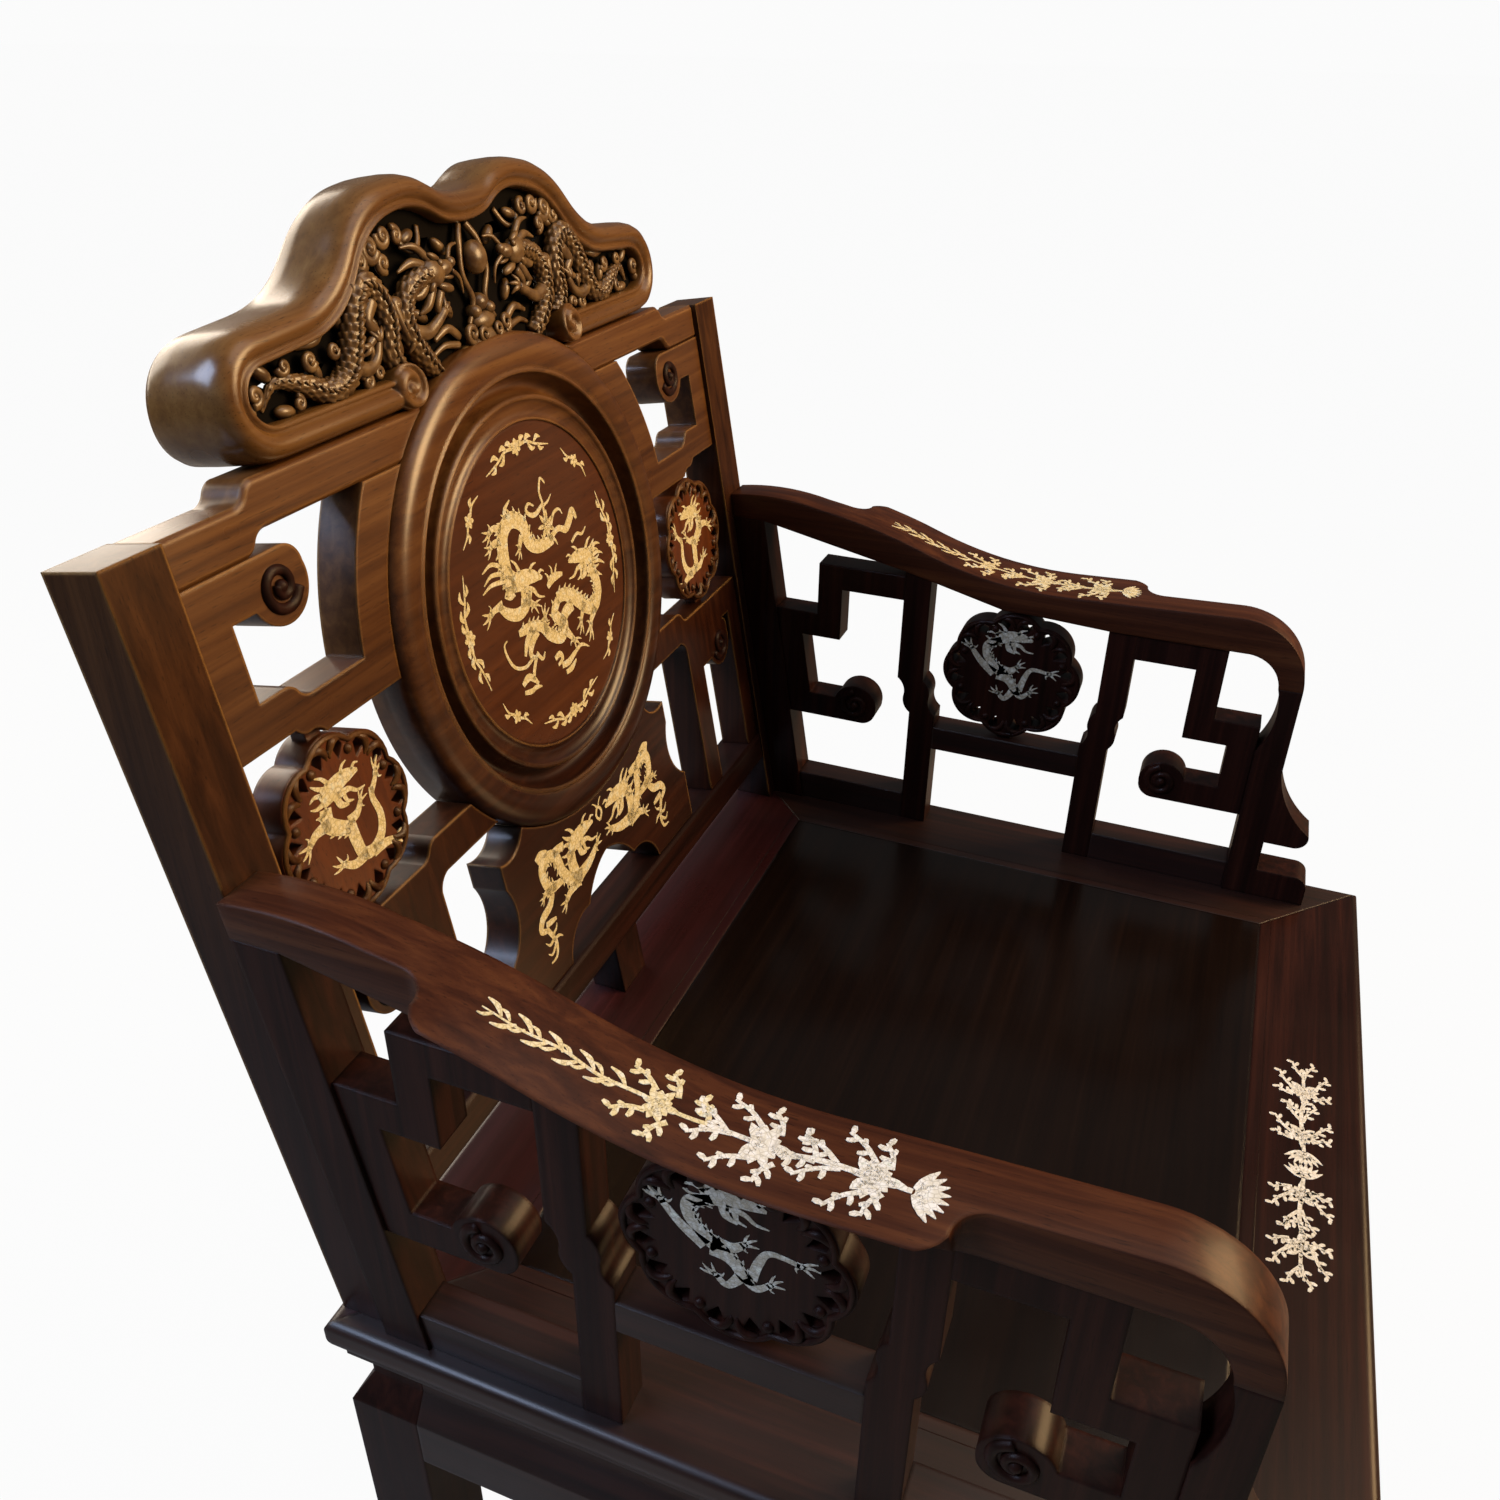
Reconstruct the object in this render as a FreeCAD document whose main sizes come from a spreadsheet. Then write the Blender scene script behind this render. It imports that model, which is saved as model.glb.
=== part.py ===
import FreeCAD, Part
import os
import re
import Sketcher
from math import asin, tan
from FreeCAD import Placement, Rotation, Vector

# A carved Chinese armchair, in millimetres.
# The floor is z = 0, the chair faces -Y, and "left" is the -X side.
# "reach" is measured forward from the rear edge of the seat, "rise" up from the seat top.

SIZES = {
    # seat frame, its moulded edge, and the panel
    "seat_width": "620",
    "seat_depth": "518",
    "seat_height": "480",
    "seat_forward": "42.37",
    "frame_width": "71",
    "nose_round": "5",
    "nose_tall": "11",
    "ovolo_tall": "13",
    "ovolo_inset": "6",
    "fillet_tall": "5.5",
    "cove_tall": "13.5",
    "waist_inset": "14",
    "panel_thick": "14",
    "tongue_deep": "8",
    "tongue_thick": "6",
    "batten_width": "36",
    "batten_tall": "20",
    "batten_spread": "160",
    # waisted aprons, legs and stretchers
    "waist_tall": "9",
    "shoulder_tall": "16",
    "apron_inset": "4",
    "apron_tall": "34",
    "apron_thick": "24",
    "leg_size": "42",
    "stretcher_wide": "22",
    "stretcher_tall": "30",
    "front_stretcher_level": "70",
    "side_stretcher_level": "112",
    # joints
    "play": "0.2",
    "round_gap": "0.3",
    "tenon_deep": "16",
    "tenon_thick": "9",
    "tenon_root": "6",
    "overrun": "5",
    # back frame
    "recline": "9.3",
    "back_set": "31.5",
    "stile_inner": "264",
    "stile_width": "33",
    "stile_depth": "30",
    "stile_proud": "3",
    "fret_thick": "24",
    "edge_bevel": "2",
    "rail_low": "396",
    "rail_tall": "22.5",
    "jog_drop": "9",
    "jog_half": "9",
    "rail_jog_at": "212",
    "sill_low": "39.5",
    "sill_tall": "23.5",
    "sill_depth": "30",
    "block_half": "16",
    # crest
    "crest_depth": "34",
    "crest_proud": "4",
    "crest_flat": "184",
    "crest_half": "210",
    "crest_end_rise": "456",
    "crest_lobe": "186",
    "crest_lobe_rise": "486",
    "crest_neck": "150",
    "crest_neck_rise": "489",
    "crest_shoulder": "108",
    "crest_shoulder_rise": "513",
    "crest_hump": "62",
    "crest_hump_rise": "535",
    "crest_dip": "22",
    "crest_dip_rise": "527",
    "crest_band": "17",
    "volute_at": "84",
    "volute_size": "23",
    "carving_thick": "12",
    "carving_back": "7",
    "carving_tongue": "3",
    "carving_foot": "68",
    # round medallion
    "ring_rise": "300",
    "ring_radius": "148",
    "ring_band": "21",
    "ring_proud": "7",
    "ring_ease": "5",
    "flange_wide": "8",
    "flange_thick": "5",
    "cove_radius": "117",
    "cove_back": "10",
    "bead_radius": "98",
    "bead_back": "0.5",
    "bead_wide": "24",
    "field_back": "1",
    "disc_back": "7",
    "disc_thick": "7",
    "disc_lap": "7",
    # upper fret beside the medallion
    "fret_wide": "23",
    "fret_low": "306",
    "fret_tall": "21",
    "fret_jog_at": "217",
    "ear_wide": "24",
    "scroll_tip": "190",
    "scroll_neck": "226",
    "scroll_drop": "11",
    # lower fret
    "lower_rail_low": "184",
    "lower_rail_tall": "23",
    "lower_jog_at": "165",
    "lower_post_in": "164",
    "lower_edge_wide": "20",
    "lower_tip": "237",
    "lower_neck": "203",
    "lower_reach": "100",
    # rosettes
    "rosette_at": "210",
    "rosette_thick": "18",
    "arm_rosette_thick": "16",
    "stub_wide": "10",
    "stub_long": "8",
    # pedestal under the medallion
    "pedestal_half": "126",
    "pedestal_step": "101",
    "pedestal_neck": "112",
    "pedestal_neck_low": "150",
    "pedestal_neck_top": "167",
    "pedestal_cap": "84",
    "pedestal_cap_rise": "177",
    "arch_foot": "66",
    "arch_cusp": "33",
    "arch_cusp_rise": "87",
    "arch_rise": "110",
    # arm frame
    "arm_ledge": "8",
    "arm_thick": "26",
    "arm_fret_thick": "22",
    "arm_bar": "20",
    "flare": "25",
    "flare_start": "84",
    "flare_end": "330",
    "flare_run": "13",
    "rear_post_wide": "26",
    "arm_back_under": "250",
    "arm_back_top": "268",
    "arm_crown_reach": "65",
    "arm_crown_top": "266",
    "arm_slope_reach": "147",
    "arm_slope_top": "245",
    "arm_low_reach": "262",
    "arm_low_top": "225",
    "arm_front_reach": "387",
    "arm_front_top": "230",
    "arm_curl_reach": "438",
    "arm_curl_rise": "180",
    "arm_curl_inner": "421",
    "arm_hand_reach": "393",
    "post_wide": "21",
    "rear_upper": "138",
    "rear_lower": "150",
    "front_upper": "297",
    "front_lower": "289",
    "post_jog_low": "103",
    "post_jog_high": "133",
    "rear_under_high": "226",
    "rear_under_low": "221",
    "arm_low_under": "206.5",
    "arm_front_under": "203.5",
    "foot_rail_tall": "24",
    "mid_rail_low": "73",
    # rear fret of the arm
    "rear_step_low": "157",
    "rear_drop": "67",
    "rear_bar_top": "221",
    "rear_scroll_low": "84",
    "rear_scroll_neck": "86",
    "rear_scroll_tip": "121",
    "rear_scroll_drop": "12",
    # front fret and front post of the arm
    "front_drop": "383",
    "front_step_top": "146",
    "front_face": "416",
    "front_scroll_low": "69",
    "front_scroll_neck": "371",
    "front_scroll_tip": "338",
    "front_scroll_drop": "12",
    "hook_top": "112",
    "hook_reach": "468",
    "hook_rise": "62",
    "hook_low": "50",
    "front_post_wide": "22",
    "toe_reach": "476",
}

# Arc shares: how far an arc stands off its chord, as a share of half the chord.
# Positive arcs swell out of the wood, negative arcs hollow it.
QUARTER_SHARE = 0.414
OVOLO_SHARE = 0.22
SCROLL_SHARE = 0.95
TIP_SHARE = 0.5
JOG_SHARE = 0.3
LOBE_SHARE = 0.5
ARM_CROWN_SHARE = 0.1
ARM_FALL_SHARE = 0.05
ARM_SAG_SHARE = 0.1
# Where the arm's ogee turns over, as a share of its flare, and how far down an apron its tenon starts.
FLARE_TURN_SHARE = 0.6
APRON_TENON_SHARE = 0.75
# Rosette: the hollows between its lobes, and the tips and widest part of the pairs of leaf holes,
# as shares of the radius.
HOLLOW_SHARE = 0.86
LEAF_IN_SHARE = 0.66
LEAF_WIDE_SHARE = 0.8
LEAF_OUT_SHARE = 0.9
LOBES = 8
# Piercings of the crest carving, one half: across, up, turn in degrees, length, width.
# Across is a share of the crest's half width; the rest are shares of the carving's height.
PIERCING_SHARES = (
    (0.80, 0.20, 10, 0.26, 0.10),
    (0.67, 0.20, -10, 0.26, 0.10),
    (0.54, 0.18, 10, 0.26, 0.10),
    (0.48, 0.43, 40, 0.26, 0.11),
    (0.42, 0.16, -10, 0.26, 0.10),
    (0.38, 0.66, 40, 0.26, 0.11),
    (0.30, 0.24, 75, 0.26, 0.11),
    (0.31, 0.86, 0, 0.28, 0.08),
    (0.27, 0.55, -70, 0.26, 0.11),
    (0.18, 0.26, 15, 0.22, 0.10),
    (0.17, 0.76, -20, 0.24, 0.10),
    (0.13, 0.52, 60, 0.24, 0.10),
)

doc = FreeCAD.newDocument("armchair")
sheet = doc.addObject("Spreadsheet::Sheet", "Sizes")
for row, (alias, text) in enumerate(SIZES.items(), start=1):
    sheet.set("A%d" % row, alias)
    sheet.set("B%d" % row, text)
    sheet.setAlias("B%d" % row, alias)
doc.recompute()

WORD = re.compile("[a-z]+(?:_[a-z]+)*")
pieces = {}
grown = {}
sunk = {}


def full(text):
    """An expression with every size's name led by the sheet's name."""
    return WORD.sub(lambda found: "Sizes." + found.group() if found.group() in SIZES else found.group(), text)


def number(text):
    return float(sheet.evalExpression(full(text)))


def bind(thing, **sizes):
    for path, text in sizes.items():
        thing.setExpression(path.replace("__", "."), full(text))


# Frames: the seat frame's origin is on the rear edge of the seat top; the back frame's origin is at the
# foot of the back's front face and leans with it.
SEAT_BACK = "(seat_depth / 2 - seat_forward)"
BACK_Y = "(seat_depth / 2 - seat_forward - back_set)"


def spot(frame, across, deep, up):
    """A point of a frame as three expressions of the chair's own axes."""
    if frame == "seat":
        return across, SEAT_BACK + " + (%s)" % deep, "seat_height + (%s)" % up
    y = BACK_Y + " + (%s) * cos(recline) + (%s) * sin(recline)" % (deep, up)
    return across, y, "seat_height - (%s) * sin(recline) + (%s) * cos(recline)" % (deep, up)


def set_down(thing, frame, across="0", deep="0", up="0"):
    """Stands a thing at a point of a frame."""
    if frame == "back":
        thing.Placement = Placement(Vector(), Rotation(Vector(-1, 0, 0), number("recline")))
        bind(thing, Placement__Rotation__Angle="recline")
    x, y, z = spot(frame, across, deep, up)
    bind(thing, Placement__Base__x=x, Placement__Base__y=y, Placement__Base__z=z)
    return thing


def block(name, frame, low, size):
    """A plain box from its low corner and its size."""
    box = doc.addObject("Part::Box", name)
    bind(box, Length=size[0], Width=size[1], Height=size[2])
    return set_down(box, frame, *low)


def drum(name, radius, deep, long, rise):
    """A round bar lying front to back in the back frame."""
    rod = doc.addObject("Part::Cylinder", name)
    bind(rod, Radius=radius, Height=long)
    rod.Placement = Placement(Vector(), Rotation(Vector(-1, 0, 0), number("recline") + 90))
    bind(rod, Placement__Rotation__Angle="recline + 90")
    x, y, z = spot("back", "0", deep, rise)
    bind(rod, Placement__Base__x=x, Placement__Base__y=y, Placement__Base__z=z)
    return rod


def edge_between(start, end, share):
    chord = end - start
    if share == 0:
        return Part.LineSegment(start, end)
    return Part.Arc(start, (start + end) * 0.5 + Vector(chord.y, -chord.x, 0) * (share / 2), end)


def end_at(sketch, index, place):
    near = sketch.getPoint(index, 1).distanceToPoint(place)
    return 1 if near < sketch.getPoint(index, 2).distanceToPoint(place) else 2


def add_loop(sketch, loop):
    """Draws a closed outline and ties each of its corners to the sheet."""
    places = [Vector(number(corner[0]), number(corner[1]), 0) for corner in loop]
    count = len(loop)
    first = sketch.GeometryCount
    for index, corner in enumerate(loop):
        share = corner[2] if len(corner) > 2 else 0
        sketch.addGeometry(edge_between(places[index], places[(index + 1) % count], share), False)
    rules = []
    for index, place in enumerate(places):
        here = first + index
        before = first + (index - 1) % count
        head = end_at(sketch, here, place)
        rules.append(Sketcher.Constraint("Coincident", before, end_at(sketch, before, place), here, head))
        rules.append(Sketcher.Constraint("DistanceX", -1, 1, here, head, place.x))
        rules.append(Sketcher.Constraint("DistanceY", -1, 1, here, head, place.y))
    start = sketch.ConstraintCount
    sketch.addConstraint(rules)
    for index, corner in enumerate(loop):
        sketch.setExpression("Constraints[%d]" % (start + 3 * index + 1), full(corner[0]))
        sketch.setExpression("Constraints[%d]" % (start + 3 * index + 2), full(corner[1]))


def new_sketch(name, plane, loops):
    body = doc.addObject("PartDesign::Body", name)
    base = [feature for feature in body.Origin.OriginFeatures if feature.Role == plane][0]
    sketch = body.newObject("Sketcher::SketchObject", name + "_outline")
    sketch.AttachmentSupport = [(base, "")]
    sketch.MapMode = "FlatFace"
    for loop in loops:
        add_loop(sketch, loop)
    return body, sketch


def board(name, plane, loops, thick, backward=False):
    """A board sawn to an outline."""
    body, sketch = new_sketch(name, plane, loops)
    pad = body.newObject("PartDesign::Pad", name + "_thickness")
    pad.Profile = sketch
    pad.Reversed = backward
    bind(pad, Length=thick)
    return body


def pierce(body, name, loops):
    """Saws holes right through a board."""
    base = [feature for feature in body.Origin.OriginFeatures if feature.Role == "XZ_Plane"][0]
    sketch = body.newObject("Sketcher::SketchObject", name + "_outline")
    sketch.AttachmentSupport = [(base, "")]
    sketch.MapMode = "FlatFace"
    for loop in loops:
        add_loop(sketch, loop)
    saw = body.newObject("PartDesign::Pocket", name)
    saw.Profile = sketch
    saw.Type = 1
    saw.Midplane = True


def eased(body, on_front, bevel):
    """Takes the sharp edge off all round a board's front face."""
    doc.recompute()
    last = body.Tip
    wanted = []
    for index, edge in enumerate(last.Shape.Edges, start=1):
        if all(on_front(corner.Point) for corner in edge.Vertexes):
            wanted.append("Edge%d" % index)
    chamfer = body.newObject("PartDesign::Chamfer", body.Label + "_easing")
    chamfer.Base = (last, wanted)
    bind(chamfer, Size=bevel)
    return body


def turned(name, loop):
    """A ring turned about the depth axis: outline corners are (radius, depth)."""
    body, sketch = new_sketch(name, "XY_Plane", [loop])
    turn = body.newObject("PartDesign::Revolution", name + "_turning")
    turn.Profile = sketch
    turn.ReferenceAxis = (sketch, ["V_Axis"])
    turn.Angle = 360
    return body


def mirrored(loop):
    """The other hand of an outline, still walked the same way round."""
    flipped = []
    count = len(loop)
    for index in range(count - 1, -1, -1):
        before = loop[index - 1]
        share = before[2] if len(before) > 2 else 0
        flipped.append(("-(%s)" % loop[index][0], loop[index][1], share))
    return flipped


def handed(side, loop):
    return loop if side == "right" else mirrored(loop)


def sign(side):
    return "" if side == "right" else "-"


def piece(name, thing):
    pieces[name] = thing
    grown[name] = []
    sunk[name] = []


def joint(tenon_on, mortise_in, frame, low, size):
    """A tenon on one piece and its mortise, a little larger all round, in the others."""
    grown[tenon_on].append(block(tenon_on + "_tenon", frame, low, size))
    wide_low = ["(%s) - play" % text for text in low]
    wide_size = ["(%s) + 2 * play" % text for text in size]
    for other in mortise_in:
        sunk[other].append(block(other + "_mortise", frame, wide_low, wide_size))


def across_joint(tenon_on, mortise_in, frame, side, start, end, deep_low, deep, low, tall):
    """A tenon that runs sideways from start to end on one hand of the chair."""
    left_end = start if side == "right" else "-(%s)" % end
    joint(tenon_on, mortise_in, frame, (left_end, deep_low, low), ("(%s) - (%s)" % (end, start), deep, tall))


# The seat

FRAME_THICK = "(nose_tall + ovolo_tall + fillet_tall + cove_tall)"


def rail_section():
    """Section of a seat rail: across from the outer edge inward, and up."""
    step = "nose_tall + ovolo_tall"
    return [
        ("nose_round", "0", QUARTER_SHARE),
        ("0", "-nose_round"),
        ("0", "-nose_tall", OVOLO_SHARE),
        ("ovolo_inset", "-(%s)" % step),
        ("ovolo_inset", "-(%s + fillet_tall)" % step, -QUARTER_SHARE),
        ("waist_inset", "-" + FRAME_THICK),
        ("frame_width", "-" + FRAME_THICK),
        ("frame_width", "0"),
    ]


def seat_rail(name, turn, length, setback):
    """One rail of the mitred seat frame, modelled as the front rail and turned into place."""
    body = board(name + "_stock", "YZ_Plane", [rail_section()], length)
    sketch = body.newObject("Sketcher::SketchObject", name + "_mitres")
    sketch.AttachmentSupport = [([f for f in body.Origin.OriginFeatures if f.Role == "XY_Plane"][0], "")]
    sketch.MapMode = "FlatFace"
    far = "%s - frame_width" % length
    add_loop(sketch, [("-overrun", "-overrun"), ("frame_width + overrun", "frame_width + overrun"),
                      ("-overrun", "frame_width + overrun")])
    past = "%s + overrun" % length
    add_loop(sketch, [(past, "-overrun"), (past, "frame_width + overrun"),
                      ("%s - overrun" % far, "frame_width + overrun")])
    saw = body.newObject("PartDesign::Pocket", name + "_sawing")
    saw.Profile = sketch
    saw.Type = 1
    saw.Midplane = True
    body.Placement = Placement(Vector(), Rotation(Vector(0, 0, 1), turn))
    half = "(%s) / 2" % length
    corner = {0: ("-" + half, "-(%s)" % setback), 90: (setback, "-" + half),
              180: (half, setback), 270: ("-(%s)" % setback, half)}[turn]
    bind(body, Placement__Base__x=corner[0], Placement__Base__y="%s - seat_forward" % corner[1],
         Placement__Base__z="seat_height")
    piece(name, body)


def make_seat():
    seat_rail("seat_rail_front", 0, "seat_width", "seat_depth / 2")
    seat_rail("seat_rail_right", 90, "seat_depth", "seat_width / 2")
    seat_rail("seat_rail_rear", 180, "seat_width", "seat_depth / 2")
    seat_rail("seat_rail_left", 270, "seat_depth", "seat_width / 2")
    rails = ["seat_rail_front", "seat_rail_right", "seat_rail_rear", "seat_rail_left"]
    inner = ("-(seat_width / 2 - frame_width)", "-(seat_depth - frame_width)", "-panel_thick")
    span = ("seat_width - 2 * frame_width", "seat_depth - 2 * frame_width", "panel_thick")
    piece("seat_panel", block("seat_panel_board", "seat", inner, span))
    low = ("-(seat_width / 2 - frame_width + tongue_deep)", "-(seat_depth - frame_width + tongue_deep)",
           "-(panel_thick + tongue_thick) / 2")
    size = (span[0] + " + 2 * tongue_deep", span[1] + " + 2 * tongue_deep", "tongue_thick")
    joint("seat_panel", rails, "seat", low, size)
    for side in ("left", "right"):
        name = "seat_batten_" + side
        at = sign(side) + "batten_spread / 2 - batten_width / 2"
        piece(name, block(name + "_stick", "seat", (at, inner[1], "-(panel_thick + batten_tall)"),
                          ("batten_width", span[1], "batten_tall")))
        joint(name, ["seat_rail_front", "seat_rail_rear"], "seat",
              (at + " + (batten_width - tenon_thick) / 2", "-(seat_depth - frame_width + tenon_deep)",
               "-(panel_thick + batten_tall / 2 + tenon_thick / 2)"),
              ("tenon_thick", span[1] + " + 2 * tenon_deep", "tenon_thick"))


# Legs, aprons with the waist above them, and stretchers

def leg_section(outward):
    """Side view of a leg: its outer face steps in at the shoulder and stands up behind the waist line."""
    top = "-" + FRAME_THICK
    shoulder = "-(%s + waist_tall)" % FRAME_THICK
    face = "-(%s + waist_tall + shoulder_tall)" % FRAME_THICK
    inner = "apron_inset + leg_size"
    loop = [("apron_inset", face), ("apron_inset", "-seat_height"), (inner, "-seat_height"), (inner, top),
            ("waist_inset", top), ("waist_inset", shoulder)]
    return loop if outward else mirrored(loop)


def make_leg(end, side):
    name = "leg_%s_%s" % (end, side)
    wide = board(name + "_front_view", "XZ_Plane", [leg_section(side == "left")], "seat_depth", True)
    bind(wide, Placement__Base__x=("-" if side == "left" else "") + "seat_width / 2",
         Placement__Base__y="-(seat_depth / 2 + seat_forward)", Placement__Base__z="seat_height")
    deep = board(name + "_side_view", "YZ_Plane", [leg_section(end == "front")], "seat_width")
    bind(deep, Placement__Base__x="-seat_width / 2",
         Placement__Base__y=("-" if end == "front" else "") + "seat_depth / 2 - seat_forward",
         Placement__Base__z="seat_height")
    both = doc.addObject("Part::Common", name + "_stock")
    both.Base = wide
    both.Tool = deep
    piece(name, both)
    wide = "2 * tenon_thick"
    inset = "(waist_inset + leg_size + apron_inset - %s) / 2" % wide
    x = "-(seat_width / 2 - %s)" % inset
    if side == "right":
        x = "seat_width / 2 - %s - %s" % (inset, wide)
    y = "-(%s + %s)" % (inset, wide) if end == "rear" else "-(seat_depth - %s)" % inset
    joint(name, ["seat_rail_" + end, "seat_rail_" + side], "seat",
          (x, y, "-(%s + tenon_root)" % FRAME_THICK), (wide, wide, "tenon_root + tenon_deep"))


def apron_section():
    """Section of an apron and the waist above it: inward from the seat's edge, and up."""
    shoulder = "%s + waist_tall" % FRAME_THICK
    foot = "-(%s + shoulder_tall + apron_tall)" % shoulder
    return [
        ("waist_inset", "-" + FRAME_THICK),
        ("waist_inset", "-(%s)" % shoulder),
        ("apron_inset", "-(%s + shoulder_tall)" % shoulder),
        ("apron_inset", foot),
        ("apron_inset + apron_thick", foot),
        ("apron_inset + apron_thick", "-" + FRAME_THICK),
    ]


def make_apron(name, turn, length, setback, legs):
    inset = "apron_inset + leg_size"
    clear = "%s - 2 * (%s)" % (length, inset)
    body = board(name + "_stock", "YZ_Plane", [apron_section()], clear)
    body.Placement = Placement(Vector(), Rotation(Vector(0, 0, 1), turn))
    half = "(%s) / 2" % clear
    corner = {0: ("-" + half, "-(%s)" % setback), 90: (setback, "-" + half),
              180: (half, setback), 270: ("-(%s)" % setback, half)}[turn]
    bind(body, Placement__Base__x=corner[0], Placement__Base__y="%s - seat_forward" % corner[1],
         Placement__Base__z="seat_height")
    piece(name, body)
    low = "-(%s + waist_tall + shoulder_tall + apron_tall * %.2f)" % (FRAME_THICK, APRON_TENON_SHARE)
    centre = "(apron_inset + apron_thick / 2)"
    long = "%s + 2 * tenon_deep" % clear
    if turn in (0, 180):
        reach = centre if turn == 180 else "seat_depth - %s" % centre
        y = "-(%s + tenon_thick / 2)" % reach
        joint(name, legs, "seat", ("-(%s) / 2" % long, y, low), (long, "tenon_thick", "apron_tall"))
    else:
        x = "seat_width / 2 - %s - tenon_thick / 2" % centre
        if turn == 270:
            x = "-(%s) - tenon_thick" % x
        y = "-(seat_depth + %s) / 2" % long
        joint(name, legs, "seat", (x, y, low), ("tenon_thick", long, "apron_tall"))


def make_stretcher(name, side_on, level, legs, at):
    """A low rail between two legs: side_on runs front to back."""
    inset = "apron_inset + leg_size"
    base = "%s - seat_height" % level
    if side_on:
        clear = "seat_depth - 2 * (%s)" % inset
        low = ("%s - stretcher_wide / 2" % at, "-(seat_depth - (%s))" % inset, base)
        piece(name, block(name + "_stick", "seat", low, ("stretcher_wide", clear, "stretcher_tall")))
        joint(name, legs, "seat", ("%s - tenon_thick / 2" % at, "-(seat_depth - (%s) + tenon_deep)" % inset,
                                   base + " + stretcher_tall / 4"),
              ("tenon_thick", clear + " + 2 * tenon_deep", "stretcher_tall / 2"))
        return
    clear = "seat_width - 2 * (%s)" % inset
    low = ("-(%s) / 2" % clear, "%s - stretcher_wide / 2" % at, base)
    piece(name, block(name + "_stick", "seat", low, (clear, "stretcher_wide", "stretcher_tall")))
    joint(name, legs, "seat", ("-(%s) / 2 - tenon_deep" % clear, "%s - tenon_thick / 2" % at,
                               base + " + stretcher_tall / 4"),
          (clear + " + 2 * tenon_deep", "tenon_thick", "stretcher_tall / 2"))


def make_stand():
    for end in ("front", "rear"):
        for side in ("left", "right"):
            make_leg(end, side)
    front = ["leg_front_left", "leg_front_right"]
    rear = ["leg_rear_left", "leg_rear_right"]
    left = ["leg_front_left", "leg_rear_left"]
    right = ["leg_front_right", "leg_rear_right"]
    make_apron("apron_front", 0, "seat_width", "seat_depth / 2", front)
    make_apron("apron_right", 90, "seat_depth", "seat_width / 2", right)
    make_apron("apron_rear", 180, "seat_width", "seat_depth / 2", rear)
    make_apron("apron_left", 270, "seat_depth", "seat_width / 2", left)
    middle = "(apron_inset + leg_size / 2)"
    make_stretcher("stretcher_front", False, "front_stretcher_level", front, "-(seat_depth - %s)" % middle)
    make_stretcher("stretcher_rear", False, "front_stretcher_level", rear, "-(%s)" % middle)
    make_stretcher("stretcher_left", True, "side_stretcher_level", left, "-(seat_width / 2 - (%s))" % middle)
    make_stretcher("stretcher_right", True, "side_stretcher_level", right, "seat_width / 2 - (%s)" % middle)


# The back: outlines are drawn in the leaning plane, across and up from the seat

def back_board(name, loops, thick="fret_thick", deep="0", ease=True):
    body = board(name + "_stock", "XZ_Plane", loops, thick, True)
    if ease:
        eased(body, lambda place: abs(place.y) < number("play"), "edge_bevel")
    return set_down(body, "back", "0", deep, "0")


def fit_to_ring(name, thing):
    """Hollows a piece so that it stands just clear of the medallion's rim."""
    cut = doc.addObject("Part::Cut", name + "_fitted")
    cut.Base = thing
    cut.Tool = drum(name + "_ring_seat", "ring_radius + round_gap", "-ring_proud - overrun",
                    "crest_depth + ring_proud + 2 * overrun", "ring_rise")
    return cut


BACK_TOP = "(rail_low + rail_tall)"
CREST_LOW = "(rail_low + rail_tall + jog_drop)"
MID_DEEP = "(fret_thick - tenon_thick) / 2"


def lean(up, deep):
    """Depth and height of a point of the back frame, seen from the side."""
    y = "(%s) * cos(recline) + (%s) * sin(recline)" % (deep, up)
    return y, "(%s) * cos(recline) - (%s) * sin(recline)" % (up, deep)


def leaning_bar(name, across, wide, front, deep, top):
    """An upright that leans with the back and stands level on the seat."""
    rear = "(%s) + (%s)" % (front, deep)
    loop = [("(%s) / cos(recline)" % front, "0"), ("(%s) / cos(recline)" % rear, "0"),
            lean(top, rear), lean(top, front)]
    body = board(name + "_stock", "YZ_Plane", [loop], wide)
    bind(body, Placement__Base__x=across, Placement__Base__y=BACK_Y, Placement__Base__z="seat_height")
    piece(name, body)


def stile_joint(name, side, low, tall):
    """A tenon from a piece of the back into the stile beside it."""
    across_joint(name, ["back_stile_" + side], "back", side, "stile_inner - tenon_root",
                 "stile_inner + tenon_deep", MID_DEEP, "tenon_thick", low, tall)


def ring_joint(name, side, edge, low, tall):
    """A tenon from a piece of the back into the medallion's ring, across the ring's edge at that height."""
    across_joint(name, ["medallion_ring"], "back", side, edge + " - tenon_thick",
                 edge + " + tenon_deep", MID_DEEP, "tenon_thick", low, tall)


def make_stiles():
    for side in ("left", "right"):
        name = "back_stile_" + side
        across = "stile_inner" if side == "right" else "-(stile_inner + stile_width)"
        leaning_bar(name, across, "stile_width", "-stile_proud", "stile_depth", BACK_TOP)
        middle = "%s + (stile_width - 2 * tenon_thick) / 2" % across
        joint(name, ["seat_rail_rear", "seat_rail_" + side], "seat",
              (middle, "-back_set + stile_depth / 4", "-tenon_deep"),
              ("2 * tenon_thick", "tenon_thick", "tenon_deep + tenon_root"))
    leaning_bar("back_foot_block", "-block_half", "2 * block_half", "0", "fret_thick", "sill_low")
    joint("back_foot_block", ["seat_rail_rear"], "seat",
          ("-tenon_thick", "-back_set + " + MID_DEEP, "-tenon_deep"),
          ("2 * tenon_thick", "tenon_thick", "tenon_deep + tenon_root"))


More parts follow.
